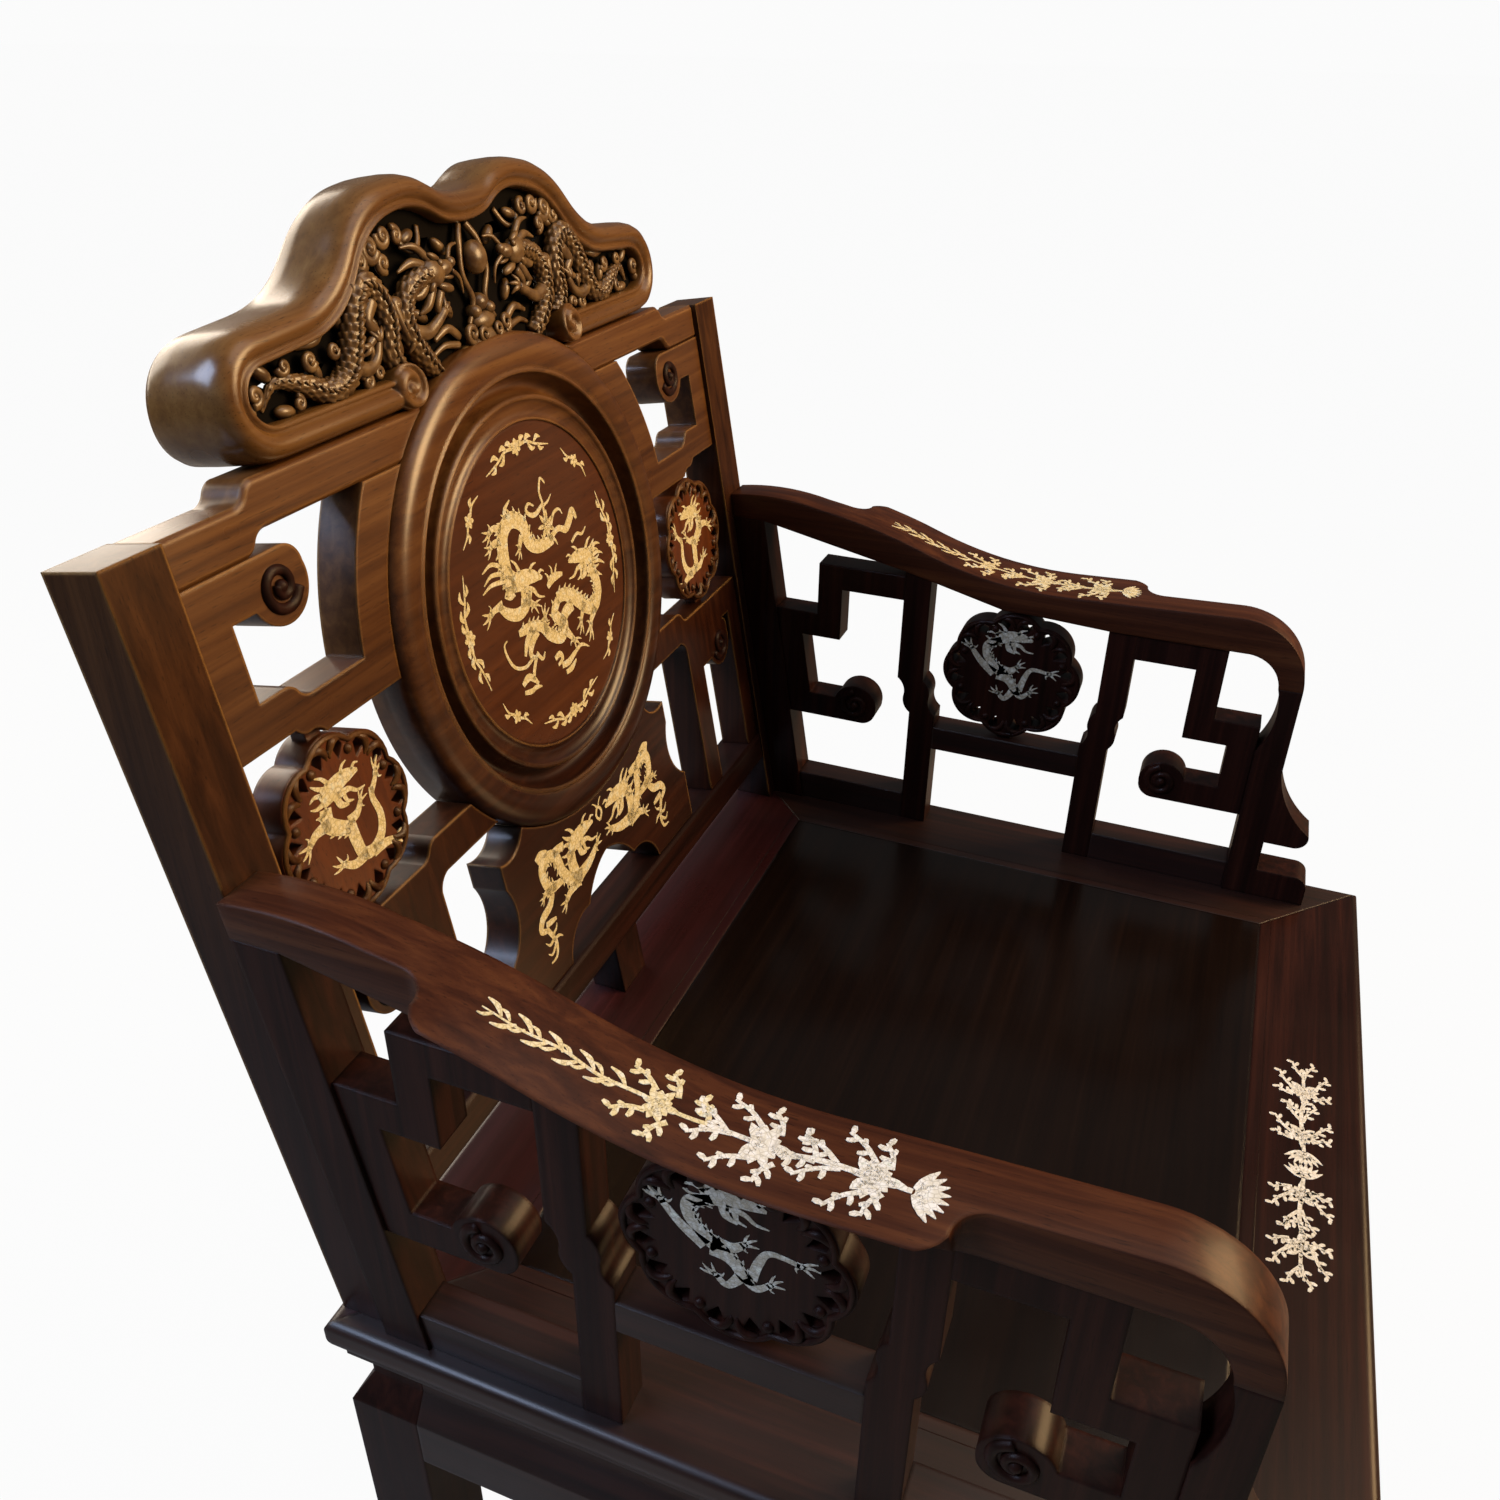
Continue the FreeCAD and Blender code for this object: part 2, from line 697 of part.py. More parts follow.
def make_sill():
    name = "back_bottom_rail"
    top = "sill_low + sill_tall"
    right = [("stile_inner", "sill_low"), ("stile_inner", top)]
    loop = right + mirrored(right)
    piece(name, back_board(name, [loop], "sill_depth", "-stile_proud"))
    for side in ("left", "right"):
        stile_joint(name, side, "sill_low + sill_tall / 4", "sill_tall / 2")
    joint("back_foot_block", [name], "back", ("-tenon_thick", MID_DEEP, "sill_low - tenon_root"),
          ("2 * tenon_thick", "tenon_thick", "tenon_root + sill_tall / 2"))


def top_rail_loop():
    low = "rail_low + jog_drop"
    return [
        ("stile_inner", "rail_low"),
        ("stile_inner", BACK_TOP),
        ("rail_jog_at + jog_half", BACK_TOP, -JOG_SHARE),
        ("rail_jog_at", BACK_TOP + " + jog_drop / 2", JOG_SHARE),
        ("rail_jog_at - jog_half", CREST_LOW),
        ("ring_radius / 2 - overrun", CREST_LOW),
        ("ring_radius / 2 - overrun", low),
        ("rail_jog_at - jog_half", low, -JOG_SHARE),
        ("rail_jog_at", "rail_low + jog_drop / 2", JOG_SHARE),
        ("rail_jog_at + jog_half", "rail_low"),
    ]


def make_top_rail(side):
    name = "back_top_rail_" + side
    piece(name, fit_to_ring(name, back_board(name, [handed(side, top_rail_loop())])))
    stile_joint(name, side, "rail_low + rail_tall / 4", "rail_tall / 2")
    rise = "(rail_low + jog_drop + rail_tall / 4)"
    edge = "sqrt((ring_radius + round_gap) ^ 2 - (%s - ring_rise) ^ 2)" % rise
    ring_joint(name, side, edge, rise, "tenon_thick")


def arc_share(low, high, radius):
    """Share of an arc about the medallion's centre between two heights above it."""
    return tan((asin(number(high) / number(radius)) - asin(number(low) / number(radius))) / 4)


def upper_fret_loop():
    """Scroll under the top rail, upright by the stile, cranked bar to the medallion, ear round its rim."""
    inner = "stile_inner - fret_wide"
    top = "fret_low + fret_tall"
    low_up = "(fret_low + fret_tall - ring_rise)"
    high_up = "(rail_low + jog_drop - ring_rise)"
    ear = "(ring_radius + ear_wide)"
    side = "sqrt(%s ^ 2 - %s ^ 2)"
    return [
        ("stile_inner", "fret_low + jog_drop"),
        ("stile_inner", "rail_low"),
        ("scroll_tip + scroll_drop", "rail_low", QUARTER_SHARE),
        ("scroll_tip", "rail_low - scroll_drop", SCROLL_SHARE),
        ("scroll_neck", "rail_low - fret_wide"),
        (inner, "rail_low - fret_wide"),
        (inner, top + " + jog_drop"),
        ("fret_jog_at + jog_half", top + " + jog_drop", JOG_SHARE),
        ("fret_jog_at", top + " + jog_drop / 2", -JOG_SHARE),
        ("fret_jog_at - jog_half", top),
        (side % (ear, low_up), top, arc_share(low_up, high_up, ear)),
        (side % (ear, high_up), "rail_low + jog_drop"),
        ("ring_radius / 2", "rail_low + jog_drop"),
        ("ring_radius / 2", "fret_low"),
        ("fret_jog_at - jog_half", "fret_low", -JOG_SHARE),
        ("fret_jog_at", "fret_low + jog_drop / 2", JOG_SHARE),
        ("fret_jog_at + jog_half", "fret_low + jog_drop"),
    ]


def make_upper_fret(side):
    name = "upper_fret_" + side
    piece(name, fit_to_ring(name, back_board(name, [handed(side, upper_fret_loop())], ease=False)))
    stile_joint(name, side, "(rail_low + fret_low) / 2", "2 * tenon_thick")
    ring_joint(name, side, "ring_radius", "fret_low + fret_tall / 4", "fret_tall / 2")


def lower_fret_loop():
    """Cranked rail from the medallion to the stile, edge strip down it, and the scrolled inner upright."""
    foot = "sill_low + sill_tall"
    low = "lower_rail_low"
    top = "lower_rail_low + lower_rail_tall"
    return [
        ("stile_inner", foot),
        ("stile_inner", top),
        ("lower_jog_at + jog_half", top, -JOG_SHARE),
        ("lower_jog_at", top + " + jog_drop / 2", JOG_SHARE),
        ("lower_jog_at - jog_half", top + " + jog_drop"),
        ("lower_reach", top + " + jog_drop"),
        ("lower_reach", low + " + jog_drop"),
        ("lower_post_in - jog_half", low + " + jog_drop", -JOG_SHARE),
        ("lower_post_in", low),
        ("lower_post_in", foot),
        ("lower_post_in + fret_wide", foot),
        ("lower_post_in + fret_wide", low + " - fret_wide"),
        ("lower_neck", low + " - fret_wide", SCROLL_SHARE),
        ("lower_tip", low + " - scroll_drop", QUARTER_SHARE),
        ("lower_tip - scroll_drop / 2", low),
        ("stile_inner - lower_edge_wide", low),
        ("stile_inner - lower_edge_wide", foot),
    ]


def make_lower_fret(side):
    name = "lower_fret_" + side
    piece(name, fit_to_ring(name, back_board(name, [handed(side, lower_fret_loop())], ease=False)))
    stile_joint(name, side, "lower_rail_low - tenon_thick", "2 * tenon_thick")
    middle = "lower_post_in + (fret_wide - tenon_thick) / 2"
    across_joint(name, ["back_bottom_rail"], "back", side, middle, middle + " + tenon_thick",
                 MID_DEEP, "tenon_thick", "sill_low + sill_tall / 2", "sill_tall / 2 + tenon_root")
    rise = "(lower_rail_low + jog_drop + tenon_root)"
    edge = "sqrt((ring_radius + round_gap) ^ 2 - (ring_rise - %s) ^ 2)" % rise
    ring_joint(name, side, edge, rise, "tenon_thick")


def rosette_loops(across, rise, radius):
    """Eight lobes, and a pair of leaf-shaped holes in each lobe."""
    step = 360 / LOBES
    lobes = []
    holes = []

    def at(share, angle):
        far = "(%s) * %.4f" % (radius, share)
        return "%s + %s * cos(%.4f)" % (across, far, angle), "%s + %s * sin(%.4f)" % (rise, far, angle)

    for lobe in range(LOBES):
        angle = (lobe + 0.5) * step
        lobes.append(at(HOLLOW_SHARE, angle) + (LOBE_SHARE,))
        for hand in (-1, 1):
            middle = lobe * step + hand * step / 4
            holes.append([at(LEAF_IN_SHARE, middle), at(LEAF_WIDE_SHARE, middle - step / 8),
                          at(LEAF_OUT_SHARE, middle), at(LEAF_WIDE_SHARE, middle + step / 8)])
    return [lobes] + holes


def make_back_rosette(side):
    name = "back_rosette_" + side
    top = "fret_low"
    low = "(lower_rail_low + lower_rail_tall)"
    radius = "(%s - %s) / 2 - round_gap" % (top, low)
    rise = "(%s + %s) / 2" % (top, low)
    deep = "(fret_thick - rosette_thick) / 2"
    loops = rosette_loops(sign(side) + "rosette_at", rise, radius)
    piece(name, back_board(name, loops, "rosette_thick", deep, False))
    start = "rosette_at - stub_wide / 2"
    for other, level in (("upper_fret_" + side, top), ("lower_fret_" + side, low)):
        across_joint(name, [other], "back", side, start, start + " + stub_wide", MID_DEEP, "tenon_thick",
                     level + " - stub_long", "2 * stub_long")


def make_pedestal():
    name = "medallion_pedestal"
    foot = "sill_low + sill_tall"
    right = [
        ("arch_foot", foot),
        ("pedestal_half", foot),
        ("pedestal_half", "pedestal_step", -QUARTER_SHARE),
        ("pedestal_neck", "pedestal_neck_low"),
        ("pedestal_neck", "pedestal_neck_top", -QUARTER_SHARE),
        ("pedestal_cap", "pedestal_cap_rise"),
    ]
    arch = [("-arch_foot", foot, -QUARTER_SHARE), ("-arch_cusp", "arch_cusp_rise", -QUARTER_SHARE / 2),
            ("0", "arch_rise", -QUARTER_SHARE / 2), ("arch_cusp", "arch_cusp_rise", -QUARTER_SHARE)]
    loop = right + mirrored(right)[:-1] + arch
    piece(name, fit_to_ring(name, back_board(name, [loop], ease=False)))
    joint(name, ["medallion_ring"], "back",
          ("-tenon_thick", MID_DEEP, "ring_rise - ring_radius - tenon_deep"),
          ("2 * tenon_thick", "tenon_thick", "tenon_deep + tenon_thick"))
    for side in ("left", "right"):
        start = "(arch_foot + pedestal_half) / 2 - tenon_thick"
        across_joint(name, ["back_bottom_rail"], "back", side, start, start + " + 2 * tenon_thick",
                     MID_DEEP, "tenon_thick", "sill_low + sill_tall / 2", "sill_tall / 2 + tenon_root")


def make_medallion():
    """A turned ring with a proud bevelled face, its cove and bead, and the fielded panel they hold."""
    inner = "ring_radius - ring_band"
    ring = turned("medallion_ring_stock", [
        ("ring_radius", "fret_thick"),
        (inner + " - flange_wide", "fret_thick"),
        (inner + " - flange_wide", "fret_thick - flange_thick"),
        (inner, "fret_thick - flange_thick"),
        (inner, "0"),
        (inner + " + ring_ease", "-ring_proud"),
        ("ring_radius - ring_ease", "-ring_proud"),
        ("ring_radius", "0"),
    ])
    piece("medallion_ring", set_down(ring, "back", "0", "0", "ring_rise"))
    seat = "fret_thick - flange_thick"
    moulding = turned("medallion_moulding_stock", [
        (inner + " - round_gap", seat),
        ("bead_radius + disc_lap + round_gap", seat),
        ("bead_radius + disc_lap + round_gap", "disc_back"),
        ("bead_radius", "disc_back"),
        ("bead_radius", "field_back"),
        ("bead_radius + bead_wide / 2", "bead_back"),
        ("cove_radius", "cove_back"),
        (inner + " - round_gap", "ring_proud / 2"),
    ])
    piece("medallion_moulding", set_down(moulding, "back", "0", "0", "ring_rise"))
    panel = turned("medallion_panel_stock", [
        ("0", "disc_back + disc_thick"),
        ("bead_radius + disc_lap", "disc_back + disc_thick"),
        ("bead_radius + disc_lap", "disc_back"),
        ("bead_radius - round_gap", "disc_back"),
        ("bead_radius - round_gap", "field_back"),
        ("0", "field_back"),
    ])
    piece("medallion_panel", set_down(panel, "back", "0", "0", "ring_rise"))


def crest_top(inset, end_inset):
    """Right half of the crest's top line, drawn in from the outside by an inset, from its end to the dip."""
    half = "crest_half - (%s)" % end_inset
    down = " - (%s)" % inset
    return [
        (half, "crest_end_rise", QUARTER_SHARE),
        ("crest_lobe - (%s) / 2" % inset, "crest_lobe_rise" + down),
        ("crest_neck - (%s) / 2" % inset, "crest_neck_rise" + down, -QUARTER_SHARE / 2),
        ("crest_shoulder - (%s) / 2" % inset, "crest_shoulder_rise" + down, QUARTER_SHARE / 2),
        ("crest_hump", "crest_hump_rise" + down, QUARTER_SHARE / 2),
        ("crest_dip", "crest_dip_rise" + down, -QUARTER_SHARE / 3),
    ]


def whole(half):
    """A right half walked from its end to the middle, then its mirror image back out."""
    other = mirrored(half)
    return half + other[:-1] + [other[-1][:2]]


def walked_back(line):
    """An open line walked from its far end to its start."""
    back = []
    for index in range(len(line) - 1, -1, -1):
        before = line[index - 1] if index else ()
        share = -before[2] if len(before) > 2 else 0
        back.append(line[index][:2] + (share,))
    return back


def crest_frame_loop():
    """One closed walk: out along the right foot, over the top, and back inside the band."""
    volute_top = CREST_LOW + " + volute_size"
    low = CREST_LOW + " + crest_band"
    outer = [("crest_flat", CREST_LOW, QUARTER_SHARE)] + crest_top("0", "0")
    inner = [("volute_at + crest_band / 2", low), ("crest_flat - crest_band / 2", low, QUARTER_SHARE)]
    inner = inner + crest_top("crest_band", "crest_band")
    left_volute = [("-volute_at", CREST_LOW, 1), ("-volute_at", volute_top)]
    right_volute = [("volute_at", volute_top, 1), ("volute_at", CREST_LOW)]
    return whole(outer) + left_volute + walked_back(whole(inner)) + right_volute


def carving_loop(grow):
    """Outline of the carved panel that fills the crest, with its foot on the medallion's rim."""
    low = CREST_LOW + " + crest_band - (%s)" % grow
    half = [("carving_foot", CREST_LOW), ("carving_foot", low),
            ("crest_flat - crest_band / 2", low, QUARTER_SHARE)]
    half = half + crest_top("crest_band - (%s)" % grow, "crest_band - (%s)" % grow)
    return whole(half)


def piercings():
    """Lozenge-shaped holes around the carved beasts, on both hands."""
    base = "(%s + crest_band)" % CREST_LOW
    tall = "(crest_hump_rise - crest_band - %s)" % base
    loops = []
    for across, up, turn, long, wide in PIERCING_SHARES:
        for hand in (1, -1):
            x = "%.3f * crest_half" % (hand * across)
            z = "%s + %.3f * %s" % (base, up, tall)
            dx = "%.3f * %s * cos(%d) / 2" % (hand * long, tall, turn)
            dz = "%.3f * %s * sin(%d) / 2" % (long, tall, turn)
            side_x = "%.3f * %s * sin(%d) / 2" % (hand * wide, tall, turn)
            side_z = "%.3f * %s * cos(%d) / 2" % (wide, tall, turn)
            loops.append([("%s - %s" % (x, dx), "%s - %s" % (z, dz)),
                          ("%s + %s" % (x, side_x), "%s - %s" % (z, side_z)),
                          ("%s + %s" % (x, dx), "%s + %s" % (z, dz)),
                          ("%s - %s" % (x, side_x), "%s + %s" % (z, side_z))])
    return loops


def make_crest():
    frame = back_board("crest_frame", [crest_frame_loop()], "crest_depth", "-crest_proud", False)
    groove = board("crest_groove", "XZ_Plane", [carving_loop("carving_tongue + play")],
                   "carving_thick + 2 * play", True)
    set_down(groove, "back", "0", "carving_back - play", "0")
    cut = doc.addObject("Part::Cut", "crest_frame_grooved")
    cut.Base = frame
    cut.Tool = groove
    piece("crest_frame", cut)
    outline = carving_loop("carving_tongue")
    carving = back_board("crest_carving", [outline], "carving_thick", "carving_back", False)
    pierce(carving, "crest_piercing", piercings())
    piece("crest_carving", fit_to_ring("crest_carving", carving))
    for side in ("left", "right"):
        middle = "(volute_at + crest_flat) / 2"
        across_joint("crest_frame", ["back_top_rail_" + side], "back", side,
                     middle + " - 2 * tenon_thick", middle + " + 2 * tenon_thick", MID_DEEP, "tenon_thick",
                     CREST_LOW + " - rail_tall / 2", "rail_tall / 2 + tenon_root")


def make_back():
    make_medallion()
    make_stiles()
    make_sill()
    for side in ("left", "right"):
        make_top_rail(side)
        make_upper_fret(side)
        make_lower_fret(side)
        make_back_rosette(side)
    make_pedestal()
    make_crest()


# The arms: outlines are drawn from the side, forward reach and rise

STILE_FRONT = "(back_set + stile_proud / cos(recline))"
ARM_OUTER = "(seat_width / 2 - arm_ledge)"


def behind(rise):
    """Reach of the stile's front face at a height."""
    return "(%s - tan(recline) * (%s))" % (STILE_FRONT, rise)


def from_side(points):
    return [("-(%s)" % point[0],) + tuple(point[1:]) for point in points]


def arm_board(side, name, loops, thick="arm_thick"):
    body = board("%s_%s_stock" % (name, side), "YZ_Plane", loops, thick)
    spare = "(arm_thick - (%s)) / 2" % thick
    across = "%s - %s" % (ARM_OUTER, spare)
    across = "-(%s)" % across if side == "left" else "%s - (%s)" % (across, thick)
    bind(body, Placement__Base__x=across, Placement__Base__y=SEAT_BACK, Placement__Base__z="seat_height")
    return body


def arm_joint(side, tenon_on, mortise_in, reach_low, reach_high, low, high):
    """A tenon in the middle of the arm's thickness, given by its reach and rise."""
    across = ARM_OUTER + " - (arm_thick + tenon_thick) / 2"
    if side == "left":
        across = "-(%s) - tenon_thick" % across
    joint("%s_%s" % (tenon_on, side), mortise_in, "seat", (across, "-(%s)" % reach_high, low),
          ("tenon_thick", "(%s) - (%s)" % (reach_high, reach_low), "(%s) - (%s)" % (high, low)))


def arm_rail_side():
    return from_side([
        (behind("arm_back_top"), "arm_back_top", ARM_CROWN_SHARE),
        ("arm_crown_reach", "arm_crown_top", ARM_FALL_SHARE),
        ("arm_slope_reach", "arm_slope_top", -ARM_SAG_SHARE),
        ("arm_low_reach", "arm_low_top"),
        ("arm_front_reach", "arm_front_top", QUARTER_SHARE),
        ("arm_curl_reach", "arm_curl_rise"),
        ("arm_curl_inner", "arm_curl_rise", -QUARTER_SHARE),
        ("arm_hand_reach", "arm_front_under"),
        ("front_upper", "arm_front_under"),
        ("(front_upper + rear_upper + post_wide) / 2 + stub_wide", "arm_low_under"),
        ("(front_upper + rear_upper + post_wide) / 2 - stub_wide", "arm_low_under"),
        ("rear_upper + post_wide", "rear_under_low"),
        ("rear_upper", "rear_under_high"),
        (behind("arm_back_under") + " + rear_post_wide", "arm_back_under"),
        (behind("arm_back_under"), "arm_back_under"),
    ])


def arm_rail_plan(side):
    """Seen from above the rail flares outward between two ogee steps."""
    out = ARM_OUTER + " + flare"
    inner = ARM_OUTER + " - arm_thick"
    turn = ARM_OUTER + " + flare * %.2f" % FLARE_TURN_SHARE
    loop = [
        (inner, "-(arm_curl_reach + overrun)"),
        (ARM_OUTER, "-(arm_curl_reach + overrun)"),
        (ARM_OUTER, "-flare_end", -QUARTER_SHARE),
        (turn, "-(flare_end - flare_run)", QUARTER_SHARE),
        (out, "-(flare_end - 3 * flare_run)"),
        (out, "-(flare_start + 3 * flare_run)", QUARTER_SHARE),
        (turn, "-(flare_start + flare_run)", -QUARTER_SHARE),
        (ARM_OUTER, "-flare_start"),
        (ARM_OUTER, "back_set"),
        (inner, "back_set"),
    ]
    return handed(side, loop)


def make_arm_rail(side):
    name = "arm_rail_" + side
    profile = board(name + "_side_view", "YZ_Plane", [arm_rail_side()], "arm_thick + flare")
    across = "-(%s + flare)" % ARM_OUTER if side == "left" else ARM_OUTER + " - arm_thick"
    bind(profile, Placement__Base__x=across, Placement__Base__y=SEAT_BACK, Placement__Base__z="seat_height")
    plan = board(name + "_plan", "XY_Plane", [arm_rail_plan(side)], "arm_back_top")
    bind(plan, Placement__Base__y=SEAT_BACK, Placement__Base__z="seat_height + arm_curl_rise - overrun")
    both = doc.addObject("Part::Common", name + "_stock")
    both.Base = profile
    both.Tool = plan
    piece(name, both)
    middle = "(arm_back_top + arm_back_under) / 2"
    end = behind(middle)
    arm_joint(side, "arm_rail", ["back_stile_" + side], end + " - tenon_deep", end + " + tenon_deep",
              middle + " - tenon_thick / 2", middle + " + tenon_thick / 2")


def make_rear_post(side):
    loop = from_side([
        (behind("0") + " + rear_post_wide", "0"),
        (behind("0"), "0"),
        (behind("arm_back_under"), "arm_back_under"),
        (behind("arm_back_under") + " + rear_post_wide", "arm_back_under"),
    ])
    piece("arm_rear_post_" + side, arm_board(side, "arm_rear_post", [loop]))
    foot = behind("0") + " + (rear_post_wide - tenon_thick) / 2"
    head = behind("arm_back_under") + " + (rear_post_wide - tenon_thick) / 2"
    arm_joint(side, "arm_rear_post", ["seat_rail_" + side, "seat_rail_rear"], foot, foot + " + tenon_thick",
              "-tenon_deep", "tenon_root")
    arm_joint(side, "arm_rear_post", ["arm_rail_" + side], head, head + " + tenon_thick",
              "arm_back_under - tenon_root", "arm_back_under + tenon_thick")


def cranked_post(upper, lower, tops):
    """An upright that shifts over in an ogee part of the way up."""
    middle = "((%s) + (%s)) / 2" % (upper, lower)
    half = "(post_jog_low + post_jog_high) / 2"
    bend = JOG_SHARE if number(upper) < number(lower) else -JOG_SHARE
    return from_side([
        ("%s + post_wide" % lower, "0"),
        (lower, "0"),
        (lower, "post_jog_low", bend),
        (middle, half, -bend),
        (upper, "post_jog_high"),
        (upper, tops[0]),
        ("%s + post_wide" % upper, tops[1]),
        ("%s + post_wide" % upper, "post_jog_high", bend),
        ("%s + post_wide" % middle, half, -bend),
        ("%s + post_wide" % lower, "post_jog_low"),
    ])


def make_arm_posts(side):
    rail = "arm_rail_" + side
    for name, upper, lower, tops in (
            ("arm_inner_post_rear", "rear_upper", "rear_lower", ("rear_under_high", "rear_under_low")),
            ("arm_inner_post_front", "front_upper", "front_lower", ("arm_front_under", "arm_front_under"))):
        loop = cranked_post(upper, lower, tops)
        piece("%s_%s" % (name, side), arm_board(side, name, [loop], "arm_fret_thick"))
        foot = "%s + (post_wide - tenon_thick) / 2" % lower
        head = "%s + (post_wide - tenon_thick) / 2" % upper
        arm_joint(side, name, ["seat_rail_" + side], foot, foot + " + tenon_thick", "-tenon_deep",
                  "tenon_root")
        arm_joint(side, name, [rail], head, head + " + tenon_thick", tops[1] + " - tenon_root",
                  tops[1] + " + tenon_thick")


def make_arm_rails(side):
    rear = "arm_inner_post_rear_" + side
    front = "arm_inner_post_front_" + side
    mid = from_side([
        ("front_lower", "mid_rail_low"),
        ("rear_lower + post_wide", "mid_rail_low"),
        ("rear_lower + post_wide", "mid_rail_low + arm_bar"),
        ("front_lower", "mid_rail_low + arm_bar"),
    ])
    piece("arm_mid_rail_" + side, arm_board(side, "arm_mid_rail", [mid], "arm_fret_thick"))
    arm_joint(side, "arm_mid_rail", [rear, front], "rear_lower + post_wide - tenon_thick",
              "front_lower + tenon_thick", "mid_rail_low + arm_bar / 4", "mid_rail_low + arm_bar * 3 / 4")
    near = from_side([
        ("rear_lower", "0"),
        (behind("0") + " + rear_post_wide", "0"),
        (behind("foot_rail_tall") + " + rear_post_wide", "foot_rail_tall"),
        ("rear_lower", "foot_rail_tall"),
    ])
    piece("arm_foot_rail_rear_" + side, arm_board(side, "arm_foot_rail_rear", [near], "arm_fret_thick"))
    arm_joint(side, "arm_foot_rail_rear", [rear, "arm_rear_post_" + side],
              behind("0") + " + rear_post_wide - tenon_thick", "rear_lower + tenon_thick",
              "foot_rail_tall / 4", "foot_rail_tall * 3 / 4")
    far = from_side([
        ("front_face", "0"),
        ("front_lower + post_wide", "0"),
        ("front_lower + post_wide", "foot_rail_tall"),
        ("front_face", "foot_rail_tall"),
    ])
    piece("arm_foot_rail_front_" + side, arm_board(side, "arm_foot_rail_front", [far], "arm_fret_thick"))
    arm_joint(side, "arm_foot_rail_front", [front, "arm_front_post_" + side],
              "front_lower + post_wide - tenon_thick", "front_face + tenon_thick",
              "foot_rail_tall / 4", "foot_rail_tall * 3 / 4")


def make_arm_rear_fret(side):
    name = "arm_rear_fret"
    line = "%s + rear_post_wide"
    step_top = "rear_step_low + arm_bar"
    scroll_top = "rear_scroll_low + arm_bar"
    loop = from_side([
        (line % behind("rear_scroll_low"), "rear_scroll_low"),
        (line % behind(step_top), step_top),
        ("rear_drop", step_top),
        ("rear_drop", "rear_bar_top"),
        ("rear_upper", "rear_bar_top"),
        ("rear_upper", "rear_bar_top - arm_bar"),
        ("rear_drop + arm_bar", "rear_bar_top - arm_bar"),
        ("rear_drop + arm_bar", "rear_step_low"),
        (line % behind("rear_step_low") + " + arm_bar", "rear_step_low"),
        (line % behind(scroll_top) + " + arm_bar", scroll_top),
        ("rear_scroll_neck", scroll_top, SCROLL_SHARE),
        ("rear_scroll_tip", "rear_scroll_low + rear_scroll_drop", QUARTER_SHARE),
        ("rear_scroll_tip - rear_scroll_drop", "rear_scroll_low"),
    ])
    piece("%s_%s" % (name, side), arm_board(side, name, [loop], "arm_fret_thick"))
    middle = "rear_bar_top - arm_bar / 2"
    arm_joint(side, name, ["arm_inner_post_rear_" + side], "rear_upper - tenon_root",
              "rear_upper + tenon_thick", middle + " - tenon_thick / 2", middle + " + tenon_thick / 2")
    low = "(rear_scroll_low + rear_step_low) / 2"
    arm_joint(side, name, ["arm_rear_post_" + side], line % behind(low) + " - tenon_thick",
              line % behind(low) + " + tenon_thick", low + " - tenon_thick", low + " + tenon_thick")


def make_arm_front_fret(side):
    name = "arm_front_fret"
    scroll_top = "front_scroll_low + arm_bar"
    loop = from_side([
        ("front_upper + post_wide", "arm_front_under - arm_bar"),
        ("front_upper + post_wide", "arm_front_under"),
        ("front_drop", "arm_front_under"),
        ("front_drop", "front_step_top"),
        ("front_face", "front_step_top"),
        ("front_face", "front_scroll_low"),
        ("front_scroll_tip + front_scroll_drop", "front_scroll_low", QUARTER_SHARE),
        ("front_scroll_tip", "front_scroll_low + front_scroll_drop", SCROLL_SHARE),
        ("front_scroll_neck", scroll_top),
        ("front_face - arm_bar", scroll_top),
        ("front_face - arm_bar", "front_step_top - arm_bar"),
        ("front_drop - arm_bar", "front_step_top - arm_bar"),
        ("front_drop - arm_bar", "arm_front_under - arm_bar"),
    ])
    piece("%s_%s" % (name, side), arm_board(side, name, [loop], "arm_fret_thick"))
    middle = "arm_front_under - arm_bar / 2"
    arm_joint(side, name, ["arm_inner_post_front_" + side], "front_upper + post_wide - tenon_thick",
              "front_upper + post_wide + tenon_root", middle + " - tenon_thick / 2",
              middle + " + tenon_thick / 2")
    low = "(front_scroll_low + front_step_top) / 2"
    arm_joint(side, name, ["arm_front_post_" + side], "front_face - tenon_root", "front_face + tenon_thick",
              low + " - tenon_thick", low + " + tenon_thick")


def make_arm_front_post(side):
    """The front upright, with a forward hook and a toe on the seat."""
    name = "arm_front_post"
    face = "front_face + front_post_wide"
    loop = from_side([
        ("toe_reach", "0"),
        ("front_face", "0"),
        ("front_face", "front_step_top - arm_bar", -QUARTER_SHARE / 2),
        ("arm_curl_inner", "arm_curl_rise"),
        ("arm_curl_reach", "arm_curl_rise"),
        (face, "hook_top", -QUARTER_SHARE / 2),
        ("hook_reach", "hook_rise", TIP_SHARE),
        ("hook_reach - arm_bar / 2", "hook_low"),
        (face, "hook_low"),
        (face, "foot_rail_tall"),
        ("toe_reach - arm_bar / 2", "foot_rail_tall", QUARTER_SHARE),
        ("toe_reach", "foot_rail_tall - arm_bar / 2"),
    ])
    piece("%s_%s" % (name, side), arm_board(side, name, [loop]))
    middle = "(arm_curl_inner + arm_curl_reach - tenon_thick) / 2"
    arm_joint(side, name, ["arm_rail_" + side], middle, middle + " + tenon_thick",
              "arm_curl_rise - tenon_root", "arm_curl_rise + tenon_thick")
    arm_joint(side, name, ["seat_rail_" + side, "seat_rail_front"], "front_face + tenon_root",
              "front_face + tenon_root + 2 * tenon_thick", "-tenon_deep", "tenon_root")


